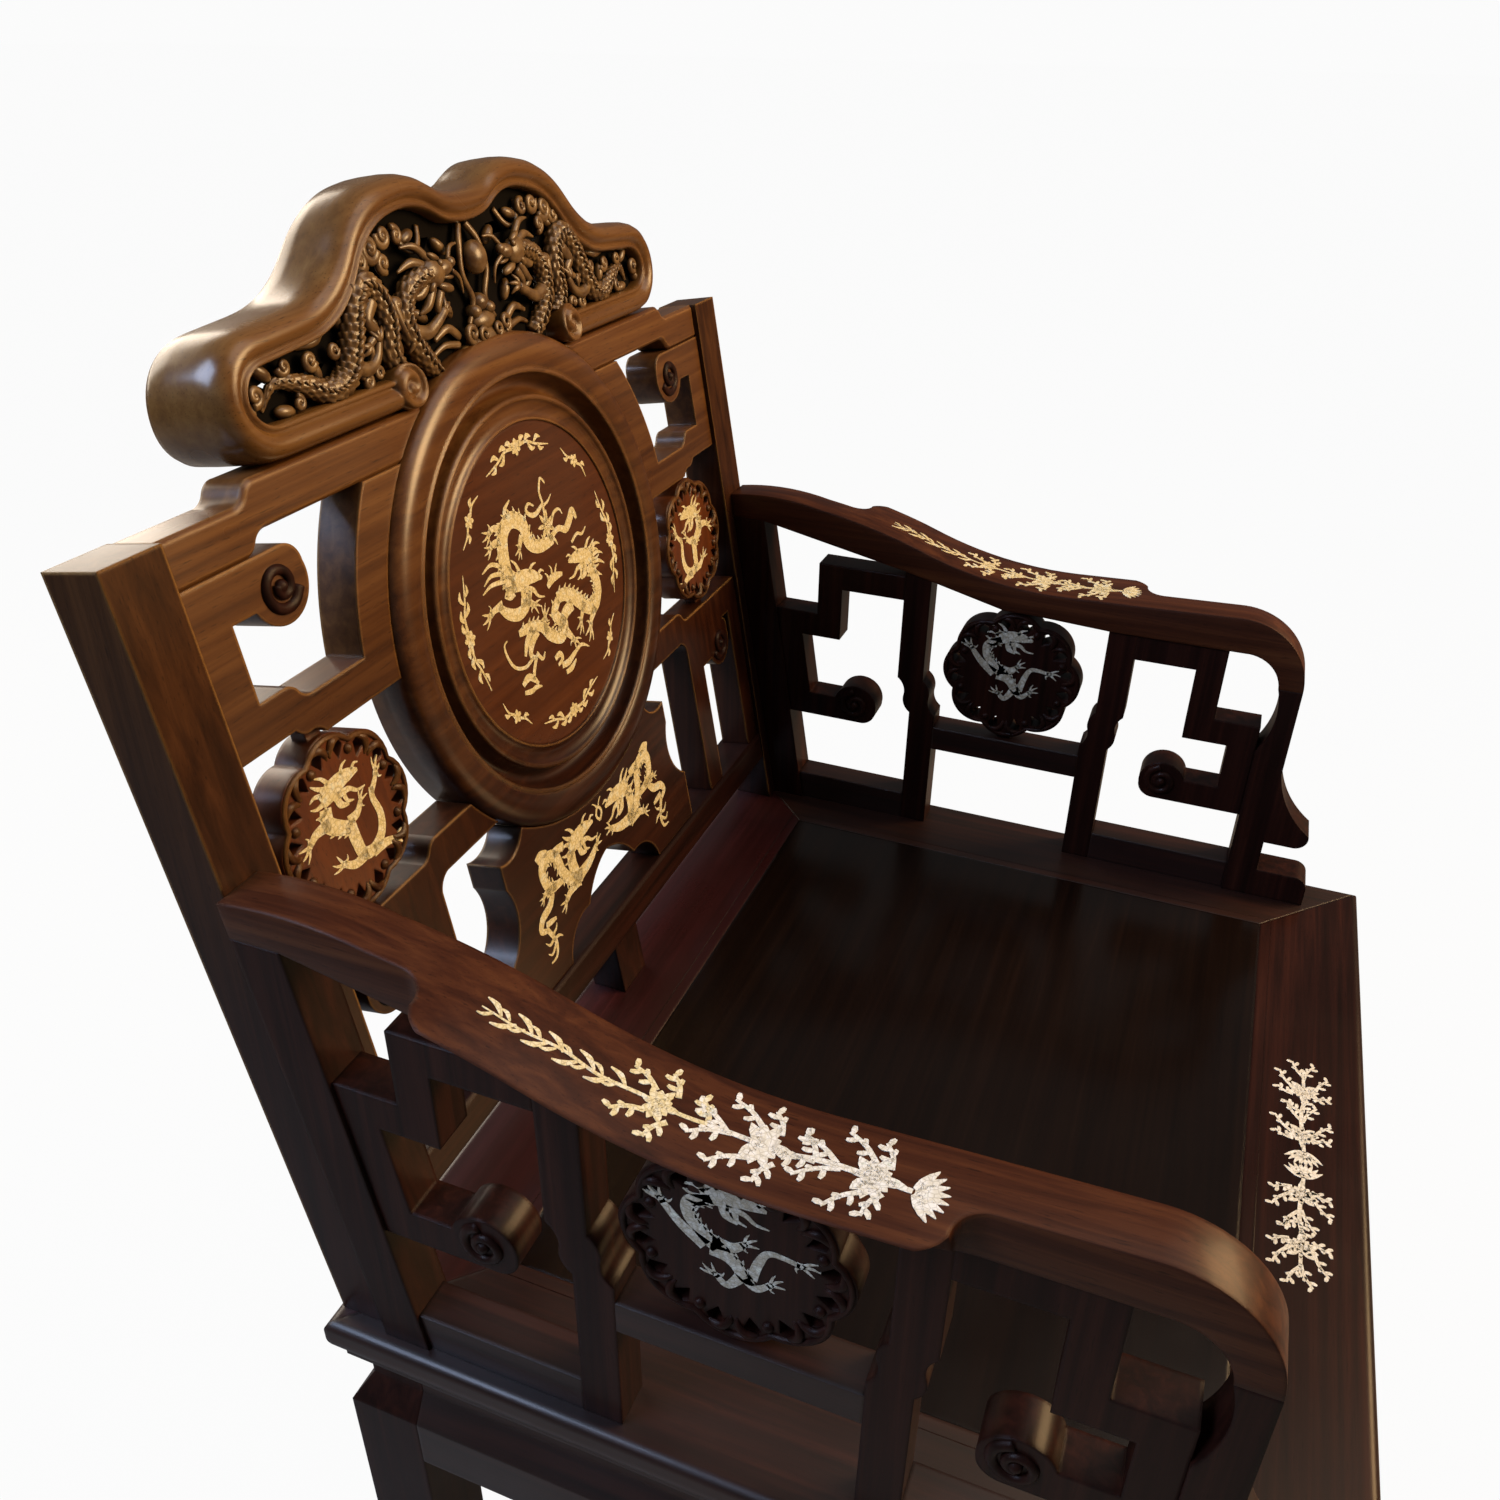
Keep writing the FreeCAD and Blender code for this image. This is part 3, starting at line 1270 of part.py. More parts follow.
def make_arm_rosette(side):
    name = "arm_rosette"
    top = "arm_low_under"
    low = "(mid_rail_low + arm_bar)"
    reach = "(front_upper + rear_upper + post_wide) / 2"
    radius = "(%s - %s) / 2 - round_gap" % (top, low)
    loops = rosette_loops("-" + reach, "(%s + %s) / 2" % (top, low), radius)
    piece("%s_%s" % (name, side), arm_board(side, name, loops, "arm_rosette_thick"))
    for other, level in (("arm_rail_" + side, top), ("arm_mid_rail_" + side, low)):
        arm_joint(side, name, [other], reach + " - stub_wide / 2", reach + " + stub_wide / 2",
                  level + " - stub_long", level + " + stub_long")


def make_arm(side):
    make_arm_rail(side)
    make_rear_post(side)
    make_arm_posts(side)
    make_arm_front_post(side)
    make_arm_rails(side)
    make_arm_rear_fret(side)
    make_arm_front_fret(side)
    make_arm_rosette(side)


def together(name, things):
    if len(things) == 1:
        return things[0]
    group = doc.addObject("Part::MultiFuse", name)
    group.Shapes = things
    return group


def join(name):
    """Adds a piece's tenons and cuts its mortises."""
    thing = together(name + "_with_tenons", [pieces[name]] + grown[name])
    if sunk[name]:
        cut = doc.addObject("Part::Cut", name + "_joined")
        cut.Base = thing
        cut.Tool = together(name + "_mortises", sunk[name])
        thing = cut
    return thing


make_seat()
make_stand()
make_back()
make_arm("left")
make_arm("right")
finished = {}
for name in pieces:
    finished[name] = join(name)
doc.recompute()
for name, thing in finished.items():
    thing.Label = name
failed = [thing.Label for thing in doc.Objects if "Invalid" in thing.State or "Error" in thing.State]
if failed:
    raise RuntimeError("did not build: " + ", ".join(failed))
os.makedirs("parts", exist_ok=True)
for name, thing in finished.items():
    shape = thing.Shape
    if shape.isNull() or not shape.isValid():
        raise RuntimeError("%s is not a sound solid" % name)
    print(name, len(shape.Solids), [round(side) for side in (shape.BoundBox.XLength, shape.BoundBox.YLength,
                                                            shape.BoundBox.ZLength)])
    shape.exportStep("parts/%s.step" % name)
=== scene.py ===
# %% [markdown]
# # A carved Chinese armchair in rosewood and mother-of-pearl
#
# The CAD frame gives every joined piece of the chair its true size and place.
# This lesson adds what a carver, an inlayer and a polisher add after the joiner:
# the rolled moulding of the crest, two dragons carved in it, the turned rings of the
# medallion, the shell inlay on the back, arms and seat, and the polish on all of it.

# %% Load the frame
import math

import bmesh
import bpy
from mathutils import Matrix, Vector
from mathutils.bvhtree import BVHTree


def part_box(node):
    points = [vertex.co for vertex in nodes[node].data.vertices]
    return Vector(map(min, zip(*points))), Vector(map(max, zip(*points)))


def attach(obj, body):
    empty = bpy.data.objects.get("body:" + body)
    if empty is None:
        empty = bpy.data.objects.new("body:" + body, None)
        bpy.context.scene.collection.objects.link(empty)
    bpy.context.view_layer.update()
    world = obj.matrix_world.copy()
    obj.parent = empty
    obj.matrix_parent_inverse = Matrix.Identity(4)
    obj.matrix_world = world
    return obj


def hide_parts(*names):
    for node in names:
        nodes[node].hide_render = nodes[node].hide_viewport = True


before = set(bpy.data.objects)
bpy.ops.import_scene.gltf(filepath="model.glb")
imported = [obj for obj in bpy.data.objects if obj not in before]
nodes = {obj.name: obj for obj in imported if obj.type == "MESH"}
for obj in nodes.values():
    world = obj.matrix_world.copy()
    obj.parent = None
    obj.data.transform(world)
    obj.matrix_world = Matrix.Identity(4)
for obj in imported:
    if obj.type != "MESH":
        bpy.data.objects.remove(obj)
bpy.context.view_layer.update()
MM = 0.001
print("frame:", len(nodes), "joined pieces")

# %% [markdown]
# ## The leaning plane of the back
#
# The back leans about nine degrees, and nearly all the ornament lies in its plane.
# The round panel of the medallion is the best thing to measure it from: its flat front
# face gives the direction that the back faces and the middle of the medallion.
# Ornament is then drawn flat, in millimetres from that middle, and stood up by one function.

# %% Measure the back from the round panel
FIELD_BACK = 1.0  # the raised field of the panel lies this far behind the plane of the frets


def panel_face():
    """The middle of the medallion's field and the direction it faces."""
    panel = nodes["medallion_panel"].data
    facing = [face for face in panel.polygons if face.normal.y < -0.9]
    out = sum((face.normal * face.area for face in facing), Vector()).normalized()
    level = max(face.center.dot(out) for face in facing)
    field = [face for face in facing if level - face.center.dot(out) < 0.5 * MM]
    area = sum(face.area for face in field)
    centre = sum((face.center * face.area for face in field), Vector()) / area
    return centre, out


disc_centre, OUT = panel_face()
ACROSS = Vector((1, 0, 0))
UP = ACROSS.cross(-OUT).normalized()
MIDDLE = disc_centre + OUT * (FIELD_BACK * MM)


def on_back(x, up, out=0.0):
    """A point of the back: across and up from the medallion's middle, and out of the frets' plane."""
    return MIDDLE + (ACROSS * x + UP * up + OUT * out) * MM


print("back leans %.1f degrees" % math.degrees(math.asin(OUT.z)))

# %% [markdown]
# ## Colours and nodes
#
# Colours are written as they look on a screen, so one function turns a hex value to linear.
# One more function adds a node with its settings and links; every finish below is
# a short list of calls to it, and so are the trees of Geometry Nodes further on.

# %% Helpers for materials
def colour(text):
    """An sRGB hex value as linear red, green, blue and alpha."""
    channels = [int(text[at:at + 2], 16) / 255 for at in (1, 3, 5)]
    return [c / 12.92 if c < 0.04045 else ((c + 0.055) / 1.055) ** 2.4 for c in channels] + [1.0]


def fill(tree, node, inputs):
    """Sets inputs by socket name or number, each to a value or to another node's output."""
    for socket, value in inputs.items():
        if isinstance(value, bpy.types.NodeSocket):
            tree.links.new(value, node.inputs[socket])
        else:
            node.inputs[socket].default_value = value


def add(tree, kind, inputs=None, stops=(), **settings):
    """One node with its settings and inputs; a colour ramp also takes stops of place and hex value."""
    node = tree.nodes.new(kind if "Node" in kind else "ShaderNode" + kind)
    for name, value in settings.items():
        setattr(node, name, value)
    fill(tree, node, inputs or {})
    if stops:
        bands = node.color_ramp.elements
        while len(bands) < len(stops):
            bands.new(0.5)
        for band, (place, text) in zip(bands, stops):
            band.position = place
            band.color = colour(text)
    return node


def new_finish(name):
    """A material, its tree and its main shader."""
    finish = bpy.data.materials.new(name)
    finish.use_nodes = True
    tree = finish.node_tree
    return finish, tree, tree.nodes["Principled BSDF"]


# %% [markdown]
# ## Polished rosewood
#
# Rosewood is dark red-brown with nearly black streaks that run along each stick, and open
# pores that stay as fine dark dashes under the polish. Each stick is sawn along its grain, so
# the finish is told the axis of its streaks and its tones from dark to light. A shader bevel
# softens the arrises, which a polisher always takes off, and broad patches vary the gloss as
# years of hands do. The back is painted golden towards its top, as painted light from the warm
# lamp, and its arrises get a painted highlight with some rubbed wear: it shows where the
# softened face turns away from the flat one.

# %% Arrises with painted highlight and rubbed wear
OPEN_AIR = 6.0  # an arris gets the painted highlight and rubbed tone only where nothing stands this close, in millimetres
RUBBED_AND_LIT, RUBBED_AND_LIT_TONE = 0.55, "#b98a4e"  # how far an arris goes to its light tone: painted highlight and rubbed wear


def lit_and_worn_arrises(tree, tone, soft):
    """The tone, with gold on the arrises: a painted highlight with some rubbed wear."""
    flat = add(tree, "NewGeometry").outputs["Normal"]
    alike = add(tree, "VectorMath", {0: soft, 1: flat}, operation="DOT_PRODUCT").outputs["Value"]
    turned = add(tree, "MapRange", {"Value": alike, "From Min": 0.985, "From Max": 0.85}).outputs[0]
    open_air = add(tree, "AmbientOcclusion", {"Distance": OPEN_AIR * MM}, samples=4).outputs["AO"]
    proud = add(tree, "MapRange", {"Value": open_air, "From Min": 0.75, "From Max": 0.98,
                                   "To Max": RUBBED_AND_LIT}).outputs[0]
    # Painted highlight: gold goes where the softened face turns from the flat one in open air, with some
    # rubbed wear.
    worn = add(tree, "Math", {0: turned, 1: proud}, operation="MULTIPLY").outputs[0]
    return add(tree, "Mix", {0: worn, 6: tone, 7: colour(RUBBED_AND_LIT_TONE)}, data_type="RGBA").outputs[2]


# %% Rosewood along X, Y or Z
STREAK_LONG, STREAK_WIDE = 240.0, 7.0  # millimetres, as all sizes here
PORE_LONG, PORE_WIDE = 9.0, 0.7  # real pores are finer; this is as fine as shows
PORE_DARK, PORE_SHOWS = "#120806", 0.55
PATCH_WIDE = 90.0
DULLER = 0.12  # how much rougher a dull patch is
ARRIS = 2.6
LIT_FROM_HEIGHT, LIT_TO_HEIGHT = 670.0, 950.0  # heights between which painted light turns the back from dark to golden
COAT_SHARE = 0.3  # polish over the wood, as a share of its sheen


def rosewood(name, axis, stops, smooth=0.26, golden=None, sheen=0.4):
    """A polished finish: grain along an axis, its roughness, and lighter tones painted in at the top as
    painted light.
    """
    finish, tree, wood = new_finish(name)
    place = add(tree, "TexCoord").outputs["Object"]
    along = [1 / (STREAK_WIDE * MM)] * 3
    along[axis] = 1 / (STREAK_LONG * MM)
    fine = [1 / (PORE_WIDE * MM)] * 3
    fine[axis] = 1 / (PORE_LONG * MM)
    streak_place = add(tree, "Mapping", {"Vector": place, "Scale": along}).outputs[0]
    pore_place = add(tree, "Mapping", {"Vector": place, "Scale": fine}).outputs[0]
    streak = add(tree, "TexNoise", {"Vector": streak_place, "Scale": 1.0, "Detail": 5.0, "Roughness": 0.6,
                                    "Distortion": 0.5}).outputs["Fac"]
    pore = add(tree, "TexNoise", {"Vector": pore_place, "Scale": 1.0, "Detail": 2.0}).outputs["Fac"]
    patch = add(tree, "TexNoise", {"Vector": place, "Scale": 1 / (PATCH_WIDE * MM),
                                   "Detail": 3.0}).outputs["Fac"]
    soft = add(tree, "Bevel", {"Radius": ARRIS * MM}, samples=4).outputs[0]
    tone = add(tree, "ValToRGB", {0: streak}, stops).outputs[0]
    # Mix has sockets of the same name for each data type, so the colour ones are given by place.
    # Painted light: the back is painted golden towards its top, and its arrises get a painted highlight.
    if golden:
        height = add(tree, "SeparateXYZ", {0: place}).outputs["Z"]
        lit_share = add(tree, "MapRange", {"Value": height, "From Min": LIT_FROM_HEIGHT * MM,
                                       "From Max": LIT_TO_HEIGHT * MM}).outputs[0]
        lit_top_tone = add(tree, "ValToRGB", {0: streak}, golden).outputs[0]
        tone = add(tree, "Mix", {0: lit_share, 6: tone, 7: lit_top_tone}, data_type="RGBA").outputs[2]
        tone = lit_and_worn_arrises(tree, tone, soft)
    dash = add(tree, "MapRange", {"Value": pore, "From Min": 0.62, "From Max": 0.72,
                                  "To Max": PORE_SHOWS}).outputs[0]
    grained = add(tree, "Mix", {0: dash, 6: tone, 7: colour(PORE_DARK)}, data_type="RGBA").outputs[2]
    gloss = add(tree, "MapRange", {"Value": patch, "From Min": 0.3, "From Max": 0.7, "To Min": smooth,
                                   "To Max": smooth + DULLER}).outputs[0]
    bump = add(tree, "Bump", {"Strength": 0.12, "Distance": 0.2 * MM, "Height": pore, "Normal": soft},
               invert=True).outputs[0]
    fill(tree, wood, {"Base Color": grained, "Roughness": gloss, "Normal": bump, "IOR": 1.5,
                      "Specular IOR Level": sheen, "Coat Weight": COAT_SHARE * sheen, "Coat Roughness": 0.16})
    return finish


# %% Tones of the rosewood and the finishes made of them
# The golden tones of the back, the crest and the stiles' tops are lighter copies of the rosewood: painted
# light from the warm lamp.
WARM = ((0.30, "#1d0b05"), (0.48, "#281108"), (0.62, "#32170b"), (0.78, "#3d1f0f"))
GOLD_LIT = ((0.30, "#4c2d14"), (0.48, "#613c1b"), (0.62, "#704a25"), (0.78, "#7d572e"))
CREST = ((0.30, "#5c3c1c"), (0.48, "#674521"), (0.62, "#6f4d27"), (0.78, "#78552d"))
REST = ((0.30, "#2b140b"), (0.48, "#3c1e11"), (0.62, "#4a2816"), (0.78, "#57331c"))
DUSK_LIT = ((0.30, "#321c0d"), (0.48, "#432813"), (0.62, "#4f3118"), (0.78, "#5b3b1f"))
DARK = ((0.30, "#160a07"), (0.48, "#210f0b"), (0.62, "#2b140e"), (0.78, "#361b13"))
FIELD = ((0.3, "#3f1f0d"), (0.6, "#4e2912"), (0.8, "#5a3217"))
SEAT = ((0.3, "#0d0705"), (0.6, "#140b07"), (0.8, "#1b100b"))
MAROON = ((0.3, "#220c0c"), (0.6, "#2f1213"), (0.8, "#3a191a"))
RED = ((0.3, "#482310"), (0.6, "#5c2f14"), (0.8, "#6a3a1b"))
warm_x = rosewood("golden rosewood of the back, grain across", 0, WARM, golden=GOLD_LIT)
warm_z = rosewood("golden rosewood of the back, grain upright", 2, WARM, golden=GOLD_LIT, sheen=0.2)
wood_x = rosewood("dark rosewood, grain across", 0, DARK, sheen=0.15)
wood_y = rosewood("dark rosewood, grain front to back", 1, DARK, 0.36)
wood_z = rosewood("dark rosewood, grain upright", 2, DARK, 0.32, sheen=0.11)
field_wood = rosewood("red rosewood of the medallion field", 0, FIELD)
seat_wood = rosewood("black-brown polished rosewood of the seat", 0, SEAT, 0.14, sheen=0.28)
maroon_wood = rosewood("maroon-brown rosewood of the rear rail", 0, MAROON)
# The crest's whole tone is a lighter golden copy of the rosewood, with painted light and sheen.
crest_wood = rosewood("waxed rosewood of the crest, painted golden light", 0, CREST, 0.20)
rest_wood = rosewood("red-brown rosewood of the arm rests", 1, REST, 0.34, sheen=0.14)
# The stiles turn golden at the top as painted light.
stile_wood = rosewood("dark rosewood of the stiles, golden at the top", 2, DARK, golden=DUSK_LIT, sheen=0.14)
rosette_wood = rosewood("red rosewood of the rosettes", 2, RED)
print("finishes:", warm_x.name, "/", wood_x.name, "/", seat_wood.name)

# %% [markdown]
# ## Carved rosewood
#
# Carving is rubbed with wax rather than polished flat. Its heights are painted gold-brown, in
# part as painted highlight, and its hollows are painted dark, as painted shade with the wax and
# dust that collect there. Ambient occlusion finds the hollows on any shape and darkens them,
# which no grain pattern could do.

# %% Carved rosewood and its ground, painted dark as shade
GRAIN_WIDE, TOOL_MARK = 6.0, 1.5  # millimetres


def carved_rosewood(name, high, low, hollow, waxed=True):
    """Two tones on the heights, partly painted highlight, and painted shade in what is shut in by less than
    the hollow's width.
    """
    finish, tree, wood = new_finish(name)
    place = add(tree, "TexCoord").outputs["Object"]
    grain = add(tree, "TexNoise", {"Vector": place, "Scale": 1 / (GRAIN_WIDE * MM),
                                   "Detail": 4.0}).outputs["Fac"]
    tone = add(tree, "ValToRGB", {0: grain}, ((0.3, high[0]), (0.7, high[1]))).outputs[0]
    # Painted shade: ambient occlusion darkens the hollows to the low tone.
    open_air = add(tree, "AmbientOcclusion", {"Distance": hollow * MM}, samples=6).outputs["AO"]
    depth = add(tree, "MapRange", {"Value": open_air, "From Min": 0.25, "From Max": 0.85}).outputs[0]
    shade = add(tree, "Mix", {0: depth, 6: colour(low), 7: tone}, data_type="RGBA").outputs[2]
    tool = add(tree, "TexNoise", {"Vector": place, "Scale": 1 / (TOOL_MARK * MM),
                                  "Detail": 1.0}).outputs["Fac"]
    bump = add(tree, "Bump", {"Strength": 0.15, "Distance": 0.3 * MM, "Height": tool}).outputs[0]
    fill(tree, wood, {"Base Color": shade, "Normal": bump, "Roughness": 0.34 if waxed else 0.9,
                      "Specular IOR Level": 0.5 if waxed else 0.1, "Coat Weight": 0.15 if waxed else 0.0,
                      "Coat Roughness": 0.2})
    return finish


# The carving's gold is partly painted highlight; the ground is painted near black as shade.
carving_wood = carved_rosewood("carved waxed rosewood", ("#4d3419", "#7c5f38"), "#100804", 5.0)
shaded_ground_wood = carved_rosewood("shadowed ground of the carving", ("#070403", "#0b0604"), "#030201", 12.0,
                              waxed=False)
print("carving:", carving_wood.name, "/", shaded_ground_wood.name)

# %% [markdown]
# ## Mother-of-pearl
#
# The inlay is sawn from shell: cream to white, glossy, with a faint green and pink shimmer that
# changes over a few millimetres, and fine engraved lines rubbed with black. A Voronoi pattern
# draws the engraving and a slow noise the shimmer.

# %% Mother-of-pearl in three tones
ENGRAVING = 2.4  # millimetres between engraved lines
SHIMMER, SHIMMER_GREEN = 5.0, "#d9dcc9"


def mother_of_pearl(name, pale, warm, dark):
    """A shell finish: two tones that shimmer, and the ink of its engraved lines."""
    finish, tree, shell = new_finish(name)
    place = add(tree, "TexCoord").outputs["Object"]
    shimmer = add(tree, "TexNoise", {"Vector": place, "Scale": 1 / (SHIMMER * MM),
                                     "Detail": 2.0}).outputs["Fac"]
    tones = ((0.35, pale), (0.5, warm), (0.62, pale), (0.72, SHIMMER_GREEN))
    tone = add(tree, "ValToRGB", {0: shimmer}, tones).outputs[0]
    lines = add(tree, "TexVoronoi", {"Vector": place, "Scale": 1 / (ENGRAVING * MM)},
                feature="DISTANCE_TO_EDGE").outputs["Distance"]
    cut = add(tree, "MapRange", {"Value": lines, "From Min": 0.02, "From Max": 0.10, "To Min": 0.38,
                                 "To Max": 0.0}).outputs[0]
    inked = add(tree, "Mix", {0: cut, 6: tone, 7: colour(dark)}, data_type="RGBA").outputs[2]
    bump = add(tree, "Bump", {"Strength": 0.3, "Distance": 0.15 * MM, "Height": cut}, invert=True).outputs[0]
    fill(tree, shell, {"Base Color": inked, "Normal": bump, "Roughness": 0.25, "Coat Weight": 0.4,
                       "Coat Roughness": 0.1})
    return finish


# The white shell is the cream one painted whiter as painted window light; the grey one is painted shade.
pearl_cream = mother_of_pearl("mother-of-pearl, cream", "#e9dfbd", "#d8c792", "#6f5a35")
pearl_white_lit = mother_of_pearl("mother-of-pearl, white in painted window light", "#eceae0", "#d9d3bf", "#7d7466")
pearl_grey = mother_of_pearl("mother-of-pearl, grey in shade", "#c9c6b8", "#aaa28c", "#565045")
print("shell:", pearl_cream.name, "/", pearl_white_lit.name, "/", pearl_grey.name)

# %% [markdown]
# ## Finish on the joined pieces
#
# Each joined piece takes the finish whose grain runs along it.

# %% Give every joined piece its rosewood
def both(*names):
    """The left and the right piece of each name."""
    return tuple(name + side for name in names for side in ("_left", "_right"))


FINISH = {
    warm_x: both("back_top_rail", "upper_fret") + (
        "medallion_pedestal", "crest_frame", "medallion_ring", "medallion_moulding"),
    warm_z: both("lower_fret"),
    stile_wood: both("back_stile"),
    rosette_wood: both("back_rosette"),
    maroon_wood: ("seat_rail_rear",),
    wood_x: ("seat_rail_front", "back_bottom_rail", "apron_front", "apron_rear", "stretcher_front",
             "stretcher_rear"),
    wood_y: both("seat_rail", "seat_batten", "apron", "stretcher", "arm_rail", "arm_mid_rail",
                 "arm_foot_rail_rear", "arm_foot_rail_front"),
    field_wood: ("medallion_panel",),
    seat_wood: ("seat_panel",),
    # The crest's carved board is painted near black, as shade behind the dragons.
    shaded_ground_wood: ("crest_carving",),
}
finish_of = {name: finish for finish, names in FINISH.items() for name in names}
for name, node in nodes.items():
    node.data.materials.clear()
    node.data.materials.append(finish_of.get(name, wood_z))
print("finished", len(nodes), "joined pieces")

# %% [markdown]
# ## Making a piece
#
# New pieces are plain meshes in place, so a finished object stays at the origin. One function
# makes a mesh from points and faces, welds its seams, turns its faces outward and ties the
# object to the chair.

# %% Piece maker
WELD = 0.00001  # metres


def on_chair(name, mesh):
    """An object for a finished mesh, tied to the chair."""
    thing = bpy.data.objects.new(name, mesh)
    bpy.context.collection.objects.link(thing)
    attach(thing, "root")
    return thing


def make_piece(name, points, faces, finish, smooth=True):
    """A welded mesh with its faces outward, tied to the chair."""
    mesh = bpy.data.meshes.new(name)
    mesh.from_pydata(points, [], faces)
    work = bmesh.new()
    work.from_mesh(mesh)
    bmesh.ops.remove_doubles(work, verts=work.verts, dist=WELD)
    bmesh.ops.recalc_face_normals(work, faces=work.faces)
    work.to_mesh(mesh)
    work.free()
    mesh.materials.append(finish)
    for face in mesh.polygons:
        face.use_smooth = smooth
    print("%s: %d faces" % (name, len(mesh.polygons)))
    return on_chair(name, mesh)


# %% Grids of faces and smooth lines
def grid_faces(rows, columns, first=0, close_rows=False, close_columns=False):
    """Quads over a grid of points stored row by row."""
    faces = []
    for row in range(rows if close_rows else rows - 1):
        for column in range(columns if close_columns else columns - 1):
            next_row = (row + 1) % rows
            next_column = (column + 1) % columns
            faces.append((first + row * columns + column, first + row * columns + next_column,
                          first + next_row * columns + next_column, first + next_row * columns + column))
    return faces


def smooth_line(points, step):
    """Points every step along a smooth curve through the given ones; any number of values per point."""
    count = len(points)
    line = []
    for index in range(count - 1):
        four = [points[min(max(index + shift, 0), count - 1)] for shift in (-1, 0, 1, 2)]
        length = math.dist(four[1][:2], four[2][:2])
        parts = max(2, round(length / step))
        for part in range(parts):
            t = part / parts
            line.append(tuple(0.5 * (2 * b + (c - a) * t + (2 * a - 5 * b + 4 * c - d) * t * t
                                     + (3 * b - a - 3 * c + d) * t ** 3) for a, b, c, d in zip(*four)))
    line.append(tuple(points[-1]))
    return line


# %% [markdown]
# ## The crest's rolled moulding
#
# The crest is sawn from thick board and its band is carved to a cushion: it swells from a thin
# bead round the opening, rolls over the top and runs back along a deep side. A sweep needs one
# line, but this band narrows and widens between two, so a section is lofted between the
# outer and the inner line of the crest, both drawn with the same arcs.

# %% Lines of the crest
BAND = 17.0  # width of the moulding
VOLUTE_AT = 84.0  # across, from the medallion's middle
CREST_FOOT = 127.5  # up from the medallion's middle
EASED = 6
CREST_SECTION = (  # share of the way from the outer to the inner line, and how far out it stands
    (0.10, -30), (0.02, -28), (0, -22), (0, -12), (0.03, -6), (0.10, -1.5), (0.22, 2.0), (0.36, 3.8),
    (0.50, 4.0), (0.62, 3.0), (0.72, 1.0), (0.77, -0.4), (0.80, -0.2), (0.83, 1.2), (0.88, 2.0),
    (0.93, 1.6), (0.97, 0.2), (1.0, -2), (1.0, -10), (1.0, -22), (0.96, -30))


def arc(start, end, share, parts):
    """Points from start up to, not at, end, along an arc that swells to the right by a share."""
    (ax, ay), (bx, by) = start, end
    if abs(share) < 0.001:
        return [(ax + (bx - ax) * i / parts, ay + (by - ay) * i / parts) for i in range(parts)]
    half = math.dist(start, end) / 2
    turn = 4 * math.atan(share)
    radius = half / math.sin(turn / 2)
    mid_x, mid_y = (ax + bx) / 2, (ay + by) / 2
    right_x, right_y = (by - ay) / (2 * half), -(bx - ax) / (2 * half)
    reach = radius * math.cos(turn / 2)
    centre_x, centre_y = mid_x - right_x * reach, mid_y - right_y * reach
    first = math.atan2(ay - centre_y, ax - centre_x)
    return [(centre_x + abs(radius) * math.cos(first + turn * i / parts),
             centre_y + abs(radius) * math.sin(first + turn * i / parts)) for i in range(parts)]


def crest_line(inset):
    """The crest's line from the right volute over the top to the left one, drawn in by an inset."""
    side = inset / 2
    corners = [(VOLUTE_AT, CREST_FOOT + inset, 0), (184 - side, CREST_FOOT + inset, 0.414),
               (210 - inset, 156, 0.414), (186 - side, 186 - inset, 0), (150 - side, 189 - inset, -0.207),
               (108 - side, 213 - inset, 0.207), (62, 235 - inset, 0.207), (22, 227 - inset, -0.138)]
    parts = (20, 14, 14, 12, 18, 18, 18, 18)
    line = []
    for index, (x, up, share) in enumerate(corners):
        end = corners[index + 1][:2] if index + 1 < len(corners) else (-x, up)
        line += arc((x, up), end, share, parts[index])
    line = line[:-(parts[-1] // 2)]  # the last arc crosses the middle
    return line + [(-x, up) for x, up in reversed(line)]


def eased_line(line, times):
    """Takes the kinks out of a line of points and keeps its ends."""
    for _ in range(times):
        inside = [((a[0] + 2 * b[0] + c[0]) / 4, (a[1] + 2 * b[1] + c[1]) / 4)
                  for a, b, c in zip(line, line[1:], line[2:])]
        line = [line[0]] + inside + [line[-1]]
    return line


outer_line = eased_line(crest_line(0.0), EASED)
inner_line = eased_line(crest_line(BAND), EASED)
print("crest lines of", len(outer_line), "points")

# %% Loft the moulding
REAR_FROM, REAR_TO = -12.0, -30.0  # the rear half of the section, as how far out
crest_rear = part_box("crest_frame")[1][1]


def crest_depth(up, out):
    """Stretches the section's rear half to an upright back, where the CAD's crest is furthest back."""
    if out > REAR_FROM:
        return out
    upright = (crest_rear - on_back(0, up).y) / (OUT.y * MM)
    return REAR_FROM + (out - REAR_FROM) / (REAR_TO - REAR_FROM) * (upright - REAR_FROM)


crest_points = []
for (ox, oy), (ix, iy) in zip(outer_line, inner_line):
    for share, out in CREST_SECTION:
        up = oy + (iy - oy) * share
        crest_points.append(on_back(ox + (ix - ox) * share, up, crest_depth(up, out)))
columns = len(CREST_SECTION)
crest_faces = grid_faces(len(outer_line), columns, close_columns=True)
crest_faces.append(tuple(range(columns)))
crest_faces.append(tuple(range((len(outer_line) - 1) * columns, len(outer_line) * columns)))
print("crest moulding lofted with", len(crest_faces), "faces")

# %% [markdown]
# ### Volutes
#
# The band's two feet end in flat spiral scrolls. A scroll is a round boss whose face rises
# and falls with a spiral: the height depends on how far round and how far out a point is.

# %% Add the volutes and make the piece
VOLUTE_RADIUS = 11.5
VOLUTE_TURNS = 1.5
VOLUTE_FLOOR, VOLUTE_RIDGE, VOLUTE_EYE = 1.4, 4.0, 3.4  # heights of the carving
VOLUTE_EDGE, VOLUTE_DROP = 0.93, 3.0  # the rim falls away past this share of the radius
VOLUTE_REAR = -29.0


